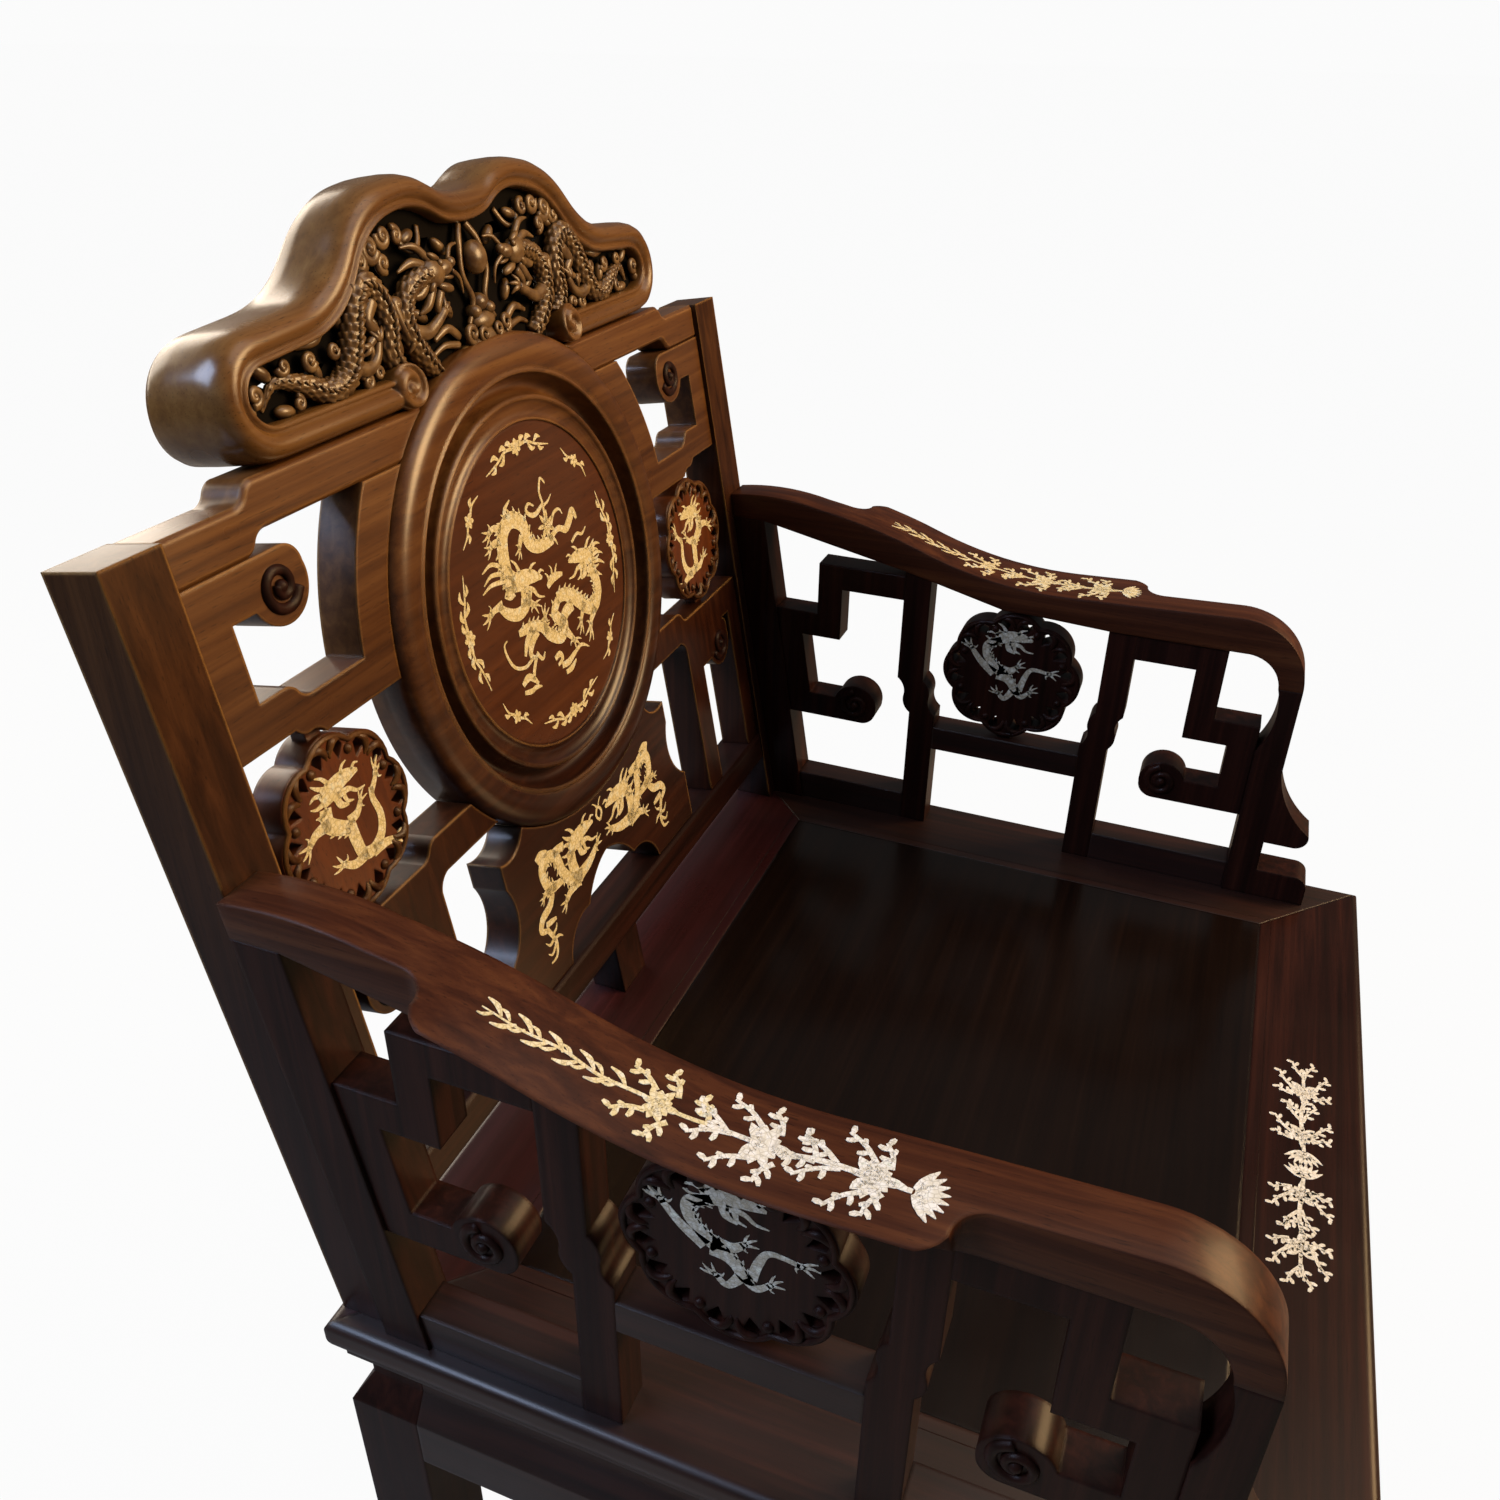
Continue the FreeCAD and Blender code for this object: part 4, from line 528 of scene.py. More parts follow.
def volute(hand, points, faces):
    """A round boss whose face follows a spiral."""
    rings, spokes = 22, 72
    first = len(points)
    for ring in range(rings + 1):
        share = ring / rings
        for spoke in range(spokes):
            angle = 2 * math.pi * spoke / spokes
            phase = (share * VOLUTE_TURNS - angle / (2 * math.pi)) % 1.0
            ridge = VOLUTE_RIDGE * math.sin(math.pi * phase) ** 0.7
            height = VOLUTE_FLOOR + ridge * min(1.0, share * 4) + VOLUTE_EYE * max(0.0, 1 - share * 4.0)
            if share > VOLUTE_EDGE:
                height -= VOLUTE_DROP * (share - VOLUTE_EDGE) / (1 - VOLUTE_EDGE)
            radius = VOLUTE_RADIUS * share
            points.append(on_back(hand * (VOLUTE_AT - radius * math.cos(angle)),
                                  CREST_FOOT + VOLUTE_RADIUS + radius * math.sin(angle), height))
    for spoke in range(spokes):
        angle = 2 * math.pi * spoke / spokes
        points.append(on_back(hand * (VOLUTE_AT - VOLUTE_RADIUS * math.cos(angle)),
                              CREST_FOOT + VOLUTE_RADIUS + VOLUTE_RADIUS * math.sin(angle), VOLUTE_REAR))
    faces += grid_faces(rings + 2, spokes, first, close_columns=True)
    faces.append(tuple(first + (rings + 1) * spokes + spoke for spoke in range(spokes)))


for hand in (1, -1):
    volute(hand, crest_points, crest_faces)
crest_moulding = make_piece("crest_moulding", crest_points, crest_faces, crest_wood)
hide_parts("crest_frame")

# %% [markdown]
# ## The carved dragons of the crest
#
# Inside the moulding two dragons face a pearl. The carver cuts them from the thin board as
# round-backed relief, with rows of overlapping scales, and pierces the ground behind, which is
# painted near black as shade. Each body is a tube along a smooth line whose thickness changes,
# and its skin is lifted by a scale pattern as it is made, so the scales are real form and not only shading.

# %% Tubes with scales
SCALE_LONG = 4.0
SCALES_ROUND = 10
SCALE_LIFT = 0.24  # share of the body's radius
SCALED_STEP, PLAIN_STEP = 0.8, 1.4  # along a strand with scales and without
BODY_SIDES, LIMB_SIDES, STRAND_SIDES, CLOUD_SIDES = 40, 16, 10, 12
THINNEST_STRAND = 0.2
RELIEF = 0.85  # the carving is a little flatter than round


def scale_height(along, round_share):
    """Overlapping scales: each rises along the body and drops at the next row."""
    row = math.floor(along / SCALE_LONG)
    rise = along / SCALE_LONG - row
    side = (round_share * SCALES_ROUND + 0.5 * (row % 2)) % 1.0 - 0.5
    return rise ** 0.7 * max(0.0, 1.0 - (2.0 * side) ** 2) ** 0.6


def tube(points, faces, path, place, sides, scaled=False):
    """A carved strand laid by a place function: its path has across, up, out and radius."""
    line = smooth_line(path, SCALED_STEP if scaled else PLAIN_STEP)
    first = len(points)
    along = 0.0
    for index, (x, up, out, radius) in enumerate(line):
        before, after = line[max(index - 1, 0)], line[min(index + 1, len(line) - 1)]
        length = math.dist(before[:2], after[:2]) or 1.0
        if index:
            along += math.dist(line[index - 1][:2], (x, up))
        side_x, side_up = -(after[1] - before[1]) / length, (after[0] - before[0]) / length
        for side in range(sides):
            turn = 2 * math.pi * side / sides
            reach = max(radius, THINNEST_STRAND)
            if scaled:
                reach *= 1.0 + SCALE_LIFT * (scale_height(along, side / sides) - 0.5)
            flat = reach * math.cos(turn)
            rise = RELIEF * reach * math.sin(turn)
            points.append(place(x + side_x * flat, up + side_up * flat, out + rise))
    faces += grid_faces(len(line), sides, first, close_columns=True)
    faces.append(tuple(range(first, first + sides)))
    faces.append(tuple(range(len(points) - sides, len(points))))


# %% Beads and curls
CURL_CLOSES, CURL_THINS, CURL_RISE = 0.78, 0.35, 1.5  # two shares, and millimetres out at the eye


def bead(points, faces, at, place, size, degrees=0.0):
    """A rounded lump: at is across, up, out; size is half its length, height and thickness."""
    rings, sides = 10, 16
    c, s = math.cos(math.radians(degrees)), math.sin(math.radians(degrees))
    first = len(points)
    for ring in range(rings + 1):
        tip = math.pi * ring / rings
        for side in range(sides):
            turn = 2 * math.pi * side / sides
            long = size[0] * math.cos(tip)
            tall = size[1] * math.sin(tip) * math.cos(turn)
            points.append(place(at[0] + long * c - tall * s, at[1] + long * s + tall * c,
                                at[2] + size[2] * math.sin(tip) * math.sin(turn)))
    faces += grid_faces(rings + 1, sides, first, close_columns=True)


def curl(x, up, size, start, turns, thick, out, way=1):
    """The path of a cloud curl: a spiral that closes on its eye."""
    path = []
    knots = max(6, round(turns * 9))
    for knot in range(knots + 1):
        share = knot / knots
        angle = math.radians(start) + way * 2 * math.pi * turns * share
        reach = size * (1.0 - CURL_CLOSES * share)
        path.append((x + reach * math.cos(angle), up + reach * math.sin(angle), out + CURL_RISE * share,
                     thick * (1.0 - CURL_THINS * share)))
    return path


# %% Draw the right dragon; the left is its mirror
dragon_body = (  # across, up, out and radius, as in every path of a tube
    (180, 150, -7, 1.2), (170, 160, -5, 2.8), (154, 156, -3.5, 4.6), (138, 149, -3, 6.0),
    (124, 153, -2.5, 6.8), (115, 166, -2, 7.0), (108, 181, -2, 7.0), (98, 190, -2, 7.0),
    (88, 184, -2, 6.8), (84, 170, -2.5, 6.6), (86, 156, -4, 6.4), (80, 146, -5, 6.2))
dragon_neck = (
    (50, 140, -6, 5.6), (58, 146, -4, 6.2), (66, 156, -3, 6.4), (70, 169, -2.5, 6.2), (64, 181, -2, 5.8),
    (53, 186, -1, 5.6), (45, 187, 0, 5.2))
dragon_limbs = (
    ((66, 162, -2, 4.6), (55, 160, -1, 3.6), (45, 164, 0, 2.8), (38, 168, 0, 2.6)),
    ((68, 174, -3, 4.4), (76, 178, -2, 3.2), (74, 166, -1, 2.6), (70, 160, -1, 2.2)),
    ((122, 158, -2, 4.8), (110, 153, -1, 3.6), (101, 156, -1, 2.8), (96, 164, -1, 2.4)),
    ((94, 182, -2, 4.6), (101, 174, -1, 3.4), (96, 168, -1, 2.6), (104, 163, -1, 2.2)))
dragon_claws = (  # across, up and direction in degrees
    (38, 168, 150), (70, 160, 250), (96, 164, 80), (104, 163, 320))
dragon_strands = (  # horns, mane, beard and whiskers round the head
    ((42, 193, 0, 2.4), (51, 201, 0, 2.0), (62, 202, -1, 0.6)),
    ((46, 191, -1, 3.0), (56, 194, -1, 2.4), (67, 191, -2, 0.7)),
    ((45, 184, -1, 3.2), (55, 178, -1, 2.6), (63, 180, -2, 0.7)),
    ((43, 180, -1, 3.2), (50, 172, -1, 2.6), (57, 169, -2, 0.7)),
    ((38, 177, 0, 2.8), (43, 170, 0, 2.2), (41, 163, -1, 0.6)),
    ((27, 190, 1, 1.5), (21, 197, 0, 1.3), (13, 198, -1, 0.6)),
    ((25, 186, 1, 1.4), (18, 181, 0, 1.2), (16, 173, -1, 0.6)))
# Skull, muzzle, nose, jaw, tongue, eye, brow and cheek: across, up, out, half length, half height,
# half thickness and turn in degrees.
dragon_head = (
    (41, 187, 0, 9.5, 7.4, 4.6, 8), (31, 188, 0.6, 7.5, 4.0, 3.4, -6), (25, 190, 1.4, 3.4, 2.8, 2.4, 0),
    (32, 178.5, -0.2, 7.0, 2.6, 2.6, 16), (28, 183, 0.0, 5.0, 1.3, 1.6, 6),
    (36.5, 191, 3.2, 2.2, 2.0, 1.6, 0), (40, 194.5, 2.0, 5.0, 1.8, 2.0, 24),
    (45, 181, 1.0, 4.0, 2.2, 2.4, -40))
SPINE_STEP, SPINE_LEAN = 4.0, 28
SPIKE = (0.4, 0.16, 0.22)  # half length, height and thickness, as shares of the body's radius
CLAW_FAN = (-42, 0, 42)
CLAW_MIDDLE, CLAW_TIP, CLAW_HOOK = 4, 8, 1.5


def mirror_on_back(hand):
    """A place function for one hand of the crest."""
    return lambda x, up, out: on_back(hand * x, up, out)


def crest_dragon(hand, name):
    """One dragon: scaled body and neck with spikes, limbs, claws, strands and head."""
    points, faces = [], []
    place = mirror_on_back(hand)
    for path in (dragon_body, dragon_neck):
        tube(points, faces, path, place, BODY_SIDES, True)
        spine = smooth_line(path, SPINE_STEP)
        for (x, up, out, radius), (next_x, next_up, _, _) in zip(spine, spine[1:]):
            turn = math.degrees(math.atan2(next_up - up, next_x - x)) + SPINE_LEAN
            spike = [share * radius for share in SPIKE]
            bead(points, faces, (x, up, out + RELIEF * radius), place, spike, turn)
    for path in dragon_limbs:
        tube(points, faces, path, place, LIMB_SIDES)
    for x, up, degrees in dragon_claws:
        for fan in CLAW_FAN:
            angle = math.radians(degrees + fan)
            c, s = math.cos(angle), math.sin(angle)
            claw = ((x, up, 0, 1.8), (x + CLAW_MIDDLE * c, up + CLAW_MIDDLE * s, 0.4, 1.5),
                    (x + CLAW_TIP * c - CLAW_HOOK * s, up + CLAW_TIP * s + CLAW_HOOK * c, -1, 0.4))
            tube(points, faces, claw, place, STRAND_SIDES)
    for path in dragon_strands:
        tube(points, faces, path, place, STRAND_SIDES)
    for x, up, out, long, tall, thick, degrees in dragon_head:
        bead(points, faces, (x, up, out), place, (long, tall, thick), degrees)
    make_piece(name, points, faces, carving_wood)


crest_dragon(1, "crest_dragon_right")
crest_dragon(-1, "crest_dragon_left")

# %% [markdown]
# ### Pearl, rock and clouds
#
# The pearl hangs over a rock that stands on the medallion's rim, tied by thin flames. Curled
# clouds and leaves fill the corners so that the board holds together round its piercings.

# %% Carve the middle and the clouds
CLOUDS = (  # across, up, size, start of the spiral in degrees, turns, thickness, way round
    (84, 205, 6.4, 200, 1.4, 2.9, 1), (72, 209, 5.2, 20, 1.3, 2.6, -1), (94, 200, 4.8, 120, 1.3, 2.5, 1),
    (61, 208, 4.2, 60, 1.2, 2.2, 1), (146, 165, 4.2, 200, 1.3, 2.3, 1), (164, 166, 3.6, 0, 1.2, 2.1, -1),
    (110, 147, 4.2, 30, 1.3, 2.3, 1), (128, 166, 3.6, 180, 1.2, 2.1, 1),
    (186, 158, 4.4, 300, 1.2, 2.3, -1), (100, 149, 3.2, 200, 1.2, 1.9, -1),
    (76, 197, 4.2, 250, 1.3, 2.3, 1), (160, 149, 3.4, 90, 1.2, 1.9, 1))
RIBBONS = (  # across, up, out and radius along each
    ((98, 178, -5, 2.0), (92, 170, -4, 2.4), (94, 160, -5, 1.4)),
    ((60, 212, -6, 1.6), (56, 203, -4, 1.7), (49, 199, -3, 1.7), (42, 202, -4, 1.7), (37, 210, -6, 1.6)),
    ((3, 207, -4, 2.2), (9, 197, -2, 2.0), (12, 182, -2, 1.8), (6, 168, -3, 2.0), (13, 156, -4, 1.6)),
    ((24, 152, -5, 2.6), (34, 158, -4, 2.4), (46, 154, -5, 1.4)),
    ((26, 148, -5, 2.4), (38, 150, -5, 1.8), (48, 147, -6, 1.2)),
    ((150, 172, -6, 2.0), (138, 172, -4, 2.4), (128, 176, -6, 1.4)),
    ((118, 190, -6, 2.0), (112, 199, -4, 2.4), (104, 204, -6, 1.4)))
leaf_lumps = (  # across, up and turn in degrees
    (176, 166, 40), (190, 150, -60), (168, 147, 10), (142, 160, 70), (118, 178, 60), (92, 206, 10),
    (78, 158, 80), (54, 168, 30), (50, 206, -20), (104, 192, 50), (132, 145, 0), (30, 168, 60),
    (90, 196, -30), (24, 198, 40))
rock_lumps = (  # across, up, half length and half height
    (0, 147, 17, 7), (12, 145, 9, 5), (21, 143, 7, 4), (0, 156, 11, 6), (7, 162, 5, 4), (0, 166, 6, 5))
ROCK_CURLS = ((17, 152, 5, 250, 1.4, 2.2, -1.0), (7, 150, 4, 270, 1.3, 1.8, 0.0))
PEARL_UP, PEARL_SIZE = 189, (9, 9, 6)
CLOUD_OUT, LEAF_OUT, ROCK_OUT = -3.0, -5, -4
LEAF_SIZE = (6.5, 3.2, 3.2)
ROCK_THICK = 5.0
middle_points, middle_faces = [], []
bead(middle_points, middle_faces, (0, PEARL_UP, 0), mirror_on_back(1), PEARL_SIZE)
for hand in (1, -1):
    place = mirror_on_back(hand)
    for x, up, size, start, turns, thick, way in CLOUDS:
        path = curl(x, up, size, start, turns, thick, CLOUD_OUT, way)
        tube(middle_points, middle_faces, path, place, CLOUD_SIDES)
        bead(middle_points, middle_faces, (x, up, CLOUD_OUT), place, (0.5 * size, 0.5 * size, 0.6 * size))
    for path in RIBBONS:
        tube(middle_points, middle_faces, path, place, CLOUD_SIDES)
    for x, up, degrees in leaf_lumps:
        bead(middle_points, middle_faces, (x, up, LEAF_OUT), place, LEAF_SIZE, degrees)
    for x, up, long, tall in rock_lumps:
        bead(middle_points, middle_faces, (x, up, ROCK_OUT), place, (long, tall, ROCK_THICK))
    for numbers in ROCK_CURLS:
        tube(middle_points, middle_faces, curl(*numbers), place, CLOUD_SIDES)
make_piece("crest_pearl_and_clouds", middle_points, middle_faces, carving_wood)

# %% [markdown]
# ## The medallion's turned rings
#
# On the real chair the ring, cove and beads are turned or scraped to one running section, so a
# section spun about the medallion's middle is the natural way. The round back of the ring
# swells forward, a deep cove falls to the panel, and thin beads catch the light at each step.

# %% Spin the section
RING_SECTION = (  # radius, and how far out
    (148, -24), (148, -3), (147.6, 0.2), (146.4, 2.6), (144.4, 4.4), (141.2, 5.6), (137.5, 6.0),
    (133, 5.8), (129.6, 5.2), (127.8, 4.5), (127.3, 4.1), (126.9, 4.3), (126.2, 4.9), (125.4, 5.0),
    (124.7, 4.5), (124.4, 3.4), (124.2, 1), (123.6, -3), (122.2, -6.2), (120, -8.2), (117.6, -8.6),
    (115.4, -7.2), (113.8, -4.6), (113, -2), (112.7, -0.2), (112.3, 1.0), (111.4, 1.8), (110.3, 1.9),
    (109.4, 1.2), (109, 0.2), (108.2, -0.3), (106, -1.4), (103, -1.9), (100.6, -1.4), (99.3, -0.5),
    (98.9, 0.1), (98.4, 0.4), (97.9, 0.1), (97.7, -0.9), (97.7, -4), (112, -17), (112, -24))
RING_SPOKES = 240
ring_points = []
for spoke in range(RING_SPOKES):
    angle = 2 * math.pi * spoke / RING_SPOKES
    for radius, out in RING_SECTION:
        ring_points.append(on_back(radius * math.cos(angle), radius * math.sin(angle), out))
ring = make_piece("medallion_rings", ring_points,
                  grid_faces(RING_SPOKES, len(RING_SECTION), close_rows=True, close_columns=True),
                  warm_x)
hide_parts("medallion_ring", "medallion_moulding")

# %% [markdown]
# ## Shell inlay: strokes
#
# The inlayer saws thin shell with a fretsaw and lets it into the wood. Every dragon, claw and
# twig here is a set of strokes: a smooth line with a width that swells and tapers, made into
# a thin closed strip. Strokes stay flat in millimetres until a place function lays them on the
# medallion, a rosette or the top of an arm. Traced meshes would hide how the drawing is made;
# strokes can be read and redrawn.

# %% Strokes
SHELL_PROUD, SHELL_DEEP = 0.25, 0.6  # above and below the face of the wood
STROKE_STEP = 1.1
THINNEST = 0.15


def spread(widths, share):
    """A width between evenly spread ones."""
    at = share * (len(widths) - 1)
    index = min(int(at), len(widths) - 2)
    return widths[index] + (widths[index + 1] - widths[index]) * (at - index)


def inlay(name, strokes, place, finish):
    """One piece of shell from strokes (widths, points) laid by place(x, y, out)."""
    points, faces = [], []
    for widths, knots in strokes:
        line = smooth_line(knots, STROKE_STEP)
        first = len(points)
        for index, (x, y) in enumerate(line):
            before, after = line[max(index - 1, 0)], line[min(index + 1, len(line) - 1)]
            length = math.dist(before, after) or 1.0
            half = max(spread(widths, index / (len(line) - 1)), THINNEST) / 2
            side_x = -(after[1] - before[1]) / length * half
            side_y = (after[0] - before[0]) / length * half
            for sign, out in ((1, SHELL_PROUD), (-1, SHELL_PROUD), (-1, -SHELL_DEEP), (1, -SHELL_DEEP)):
                points.append(place(x + sign * side_x, y + sign * side_y, out))
        faces += grid_faces(len(line), 4, first, close_columns=True)
        faces.append((first, first + 1, first + 2, first + 3))
        last = len(points) - 4
        faces.append((last, last + 1, last + 2, last + 3))
    return make_piece(name, points, faces, finish, smooth=False)


def moved(strokes, x, y, degrees=0.0, size=1.0, hand=1):
    """The same strokes mirrored, sized, turned and set down at a point."""
    c, s = math.cos(math.radians(degrees)) * size, math.sin(math.radians(degrees)) * size
    return [([w * size for w in widths],
             [(x + (px * c - py * hand * s), y + (px * s + py * hand * c)) for px, py in knots])
            for widths, knots in strokes]


# %% [markdown]
# ### Parts of a dragon
#
# All the dragons share a head, a clawed foot and a ridge of spines; only the way the body bends
# and the limbs reach is drawn for each place.

# %% Head and foot
HEAD = (  # neck at the origin, looking along +x
    ((7, 10.5, 9, 6.5, 1.5), ((-2, 0), (7, 2), (15, 3), (22, 2.2), (27, 1.2))),
    ((2.4, 1.8, 0.4), ((15, 5), (18, 8.5), (22, 9.5))), ((2, 1.6, 0.5), ((23, 3), (26, 5.2), (29, 4.2))),
    ((4, 3, 1.8, 0.6), ((9, -3), (17, -4), (22, -8), (28, -9))),
    ((5, 4, 1), ((8, -3), (9, -8), (14, -11))), ((3, 2, 0.5), ((13, -5), (14, -9), (18, -11))),
    ((3, 2.2, 0.5), ((2, 5), (-2, 8), (-5, 11))), ((3, 2, 0.5), ((0, 3), (-5, 5), (-9, 4))),
    ((3, 2, 0.5), ((6, 6), (3, 10.5), (-1, 13))), ((3, 2, 0.5), ((-1, -1), (-6, -1), (-10, 1))),
    ((3, 2, 0.5), ((0, -4), (-4, -6), (-9, -5))))
FOOT = (  # wrist at the origin, reaching along +x
    ((3.4, 3.6, 2), ((-1.5, 0), (0.5, 0), (2.4, 0))),
    ((1.9, 1.4, 0.3), ((1.2, 0.6), (4.2, 3.2), (7.4, 4.6))),
    ((1.9, 1.4, 0.3), ((1.8, 0.2), (5.4, 0.9), (9.0, 0.4))),
    ((1.9, 1.3, 0.3), ((1.4, -0.5), (4.2, -2.4), (6.8, -4.2))),
    ((1.7, 1.2, 0.3), ((0, -0.8), (-1.6, -3.0), (-0.8, -5.0))))
print("head of", len(HEAD), "strokes, foot of", len(FOOT))

# %% Limbs, spines and flowers
SPINE_WIDTHS, SPINE_BACK = (2.6, 1.8, 0.3), 1.6  # widths along a spine, and how far back its tip lies


def limb(widths, *knots, size=1.0):
    """A leg with a clawed foot at its end."""
    (ax, ay), (bx, by) = knots[-2], knots[-1]
    foot = moved(FOOT, bx, by, math.degrees(math.atan2(by - ay, bx - ax)), size)
    return [(widths, knots)] + foot


def spined(widths, *knots, side=1, every=5.0, long=2.6):
    """A body stroke with a row of spines along one side."""
    strokes = [(widths, knots)]
    line = smooth_line(knots, every)
    for index in range(1, len(line) - 1):
        (ax, ay), (bx, by) = line[index - 1], line[index + 1]
        length = math.dist((ax, ay), (bx, by)) or 1.0
        away = side * spread(widths, index / (len(line) - 1)) / 2
        nx, ny = -(by - ay) / length, (bx - ax) / length
        tx, ty = (bx - ax) / length, (by - ay) / length
        x, y = line[index]
        tip = away + side * long
        strokes.append((SPINE_WIDTHS, ((x + nx * away * 0.7, y + ny * away * 0.7),
                                       (x + nx * away, y + ny * away),
                                       (x + nx * tip - tx * SPINE_BACK, y + ny * tip - ty * SPINE_BACK))))
    return strokes


def flower(x, y, petals, inner, outer, start=0.0, sweep=360.0, wide=3.0, uneven=0.0):
    """Petals set round a point, of one length or uneven."""
    strokes = []
    for petal in range(petals):
        angle = math.radians(start + sweep * petal / petals)
        c, s = math.cos(angle), math.sin(angle)
        long = outer * (1.0 - uneven * (0.5 + 0.5 * math.sin(2.7 * petal)))
        middle = (inner + long) * 0.55
        knots = [(x + c * reach, y + s * reach) for reach in (inner, middle)]
        knots += [(x + c * (middle + long) / 2, y + s * (middle + long) / 2), (x + c * long, y + s * long)]
        strokes.append(((0.8, wide, wide * 0.8, 0.4), knots))
    return strokes


# %% [markdown]
# ### The medallion
#
# Two dragons chase a flame across the round panel: the upper one loops over with its tail
# bursting into flower, the lower one rears at the right and trails to a plume. Places are
# millimetres from the medallion's middle.

# %% Draw the two dragons of the medallion
upper_dragon = (
    spined((11, 11, 11, 10, 10, 9, 8, 6), (-36, 8), (-37, 26), (-33, 42), (-22, 48), (-11, 42), (-8, 30),
           (2, 24), (18, 23), side=1)
    + moved(HEAD, -33, 12, -14, 1.15) + [((4, 7, 8, 7, 4),
                                          ((-52, 7), (-46, 0), (-36, -5), (-26, -4), (-18, 3)))]
    + [((3, 2.5, 0.6), ((-40, 26), (-50, 31), (-60, 29))), ((3, 2.5, 0.6), ((-40, 22), (-52, 25), (-61, 22))),
       ((3, 2.5, 0.6), ((-42, 18), (-54, 20), (-64, 18))), ((4, 3, 0.6), ((-26, 50), (-25, 55), (-18, 59)))]
    + limb((6, 4, 3), (-33, 46), (-40, 49), (-44, 48))
    + limb((5, 4, 3), (-36, 40), (-42, 41), (-46, 40), size=0.9)
    + limb((6, 4, 3), (-48, 6), (-56, 6), (-61, 5), size=1.1)
    + limb((6, 4, 3), (-30, 0), (-23, -3), (-18, -6))
    + limb((5, 4, 3), (-14, 36), (-17, 33), (-19, 30), size=0.8)
    + flower(14, 33, 7, 1.5, 9.5, 20) + flower(14, 33, 6, 0.5, 5.0, 0, wide=2.4)
    + [((2.4, 2.2, 2, 2, 1.2), ((14, 36), (15, 46), (14, 54), (18, 61), (22, 57))),
       ((2, 3, 3, 2.6, 2, 1), ((14, 46), (6, 43), (0, 44), (-4, 48), (0, 51), (5, 48))),
       ((2, 1.6, 0.5), ((15, 45), (21, 46), (26, 49))),
       ((2.4, 2.4, 2, 0.8), ((18, 30), (24, 37), (31, 38), (34, 34))),
       ((4, 3.5, 4, 6, 6, 2), ((14, 24), (26, 27), (34, 24), (41, 28), (46, 32), (49, 26))),
       ((3, 2, 0.5), ((16, 25), (20, 22), (22, 18)))])
lower_dragon = (
    spined((9, 9, 9, 10, 10, 10, 9, 7), (52, -6), (57, -16), (57, -26), (49, -33), (39, -29), (29, -20),
           (18, -13), (8, -12), side=-1)
    + moved(HEAD, 57, -3, 168, 1.05, -1)
    + [((3, 2.4, 0.5), ((58, 2), (65, 4), (71, 2))), ((3, 2.4, 0.5), ((58, -2), (66, -2), (72, -5))),
       ((3, 2.4, 0.5), ((58, -6), (66, -8), (72, -12))), ((3, 2.4, 0.5), ((57, -12), (63, -16), (66, -18)))]
    + spined((6, 8, 9, 8, 8, 7, 7, 4), (9, -13), (2, -20), (10, -30), (4, -36), (-7, -30), (-15, -21),
             (-27, -17), (-39, -16), side=-1)
    + [((8, 8, 6), ((24, -22), (14, -24), (6, -30)))]
    + limb((7, 5, 3), (50, -34), (42, -40), (40, -43), size=1.2)
    + limb((7, 5, 3), (10, -34), (14, -39), (17, -43), size=1.1)
    + limb((6, 4, 3), (-10, -28), (-11, -22), (-9, -18)) + limb((6, 4, 3), (38, -26), (32, -33), (30, -36))
    + [((6, 6, 4, 2), ((-20, -22), (-28, -26), (-32, -33), (-26, -37))),
       ((6, 5, 2), ((-24, -19), (-33, -24), (-38, -31))),
       ((2.4, 2.2, 2.2, 2.2, 2, 0.8), ((-30, -35), (-40, -37), (-50, -33), (-55, -25), (-56, -17),
                                       (-52, -15))),
       ((3, 3, 3), ((-27, -36), (-32, -42), (-35, -48))),
       ((3, 5, 4, 2), ((-47, -46), (-40, -44), (-35, -47), (-31, -52))),
       ((2.5, 3.4, 3, 0.8), ((-47, -51), (-40, -53), (-34, -53), (-28, -55))),
       ((3, 2.4, 1), ((-26, -34), (-21, -40), (-17, -37)))])
between_dragons = (
    [((3, 6, 5, 2), ((1, -2), (7, 1), (13, 1), (20, 0))), ((2, 1.5, 0.4), ((8, 3), (9, 7), (7, 10))),
     ((2, 1.5, 0.4), ((12, 3), (14, 6), (16, 8))), ((2, 1.5, 0.4), ((4, 2), (3, 5), (1, 7))),
     ((3, 4, 3, 2), ((-8, -46), (-2, -45), (0, -49), (-6, -51))),
     ((4, 4.5, 3, 2.4, 0.6), ((-2, -53), (6, -54), (14, -52), (24, -50), (33, -55))),
     ((3, 4, 1), ((1, -59), (8, -59), (15, -56))),
     ((2, 2, 2, 0.6), ((38, 14), (46, 17), (52, 15), (58, 18)))])


def on_disc(x, up, out):
    """A point of the medallion's field."""
    return on_back(x, up, out - FIELD_BACK)


inlay("medallion_inlay", upper_dragon + lower_dragon + between_dragons, on_disc, pearl_cream)

# %% [markdown]
# ### The medallion's border
#
# Eight sprigs ring the panel, long and short by turns. One sprig of each kind is drawn flat and
# a small tree of Geometry Nodes sets copies of it round a circle, each turned outward.
# Every tree ends in plain faces with a finish, because the export drops instances.

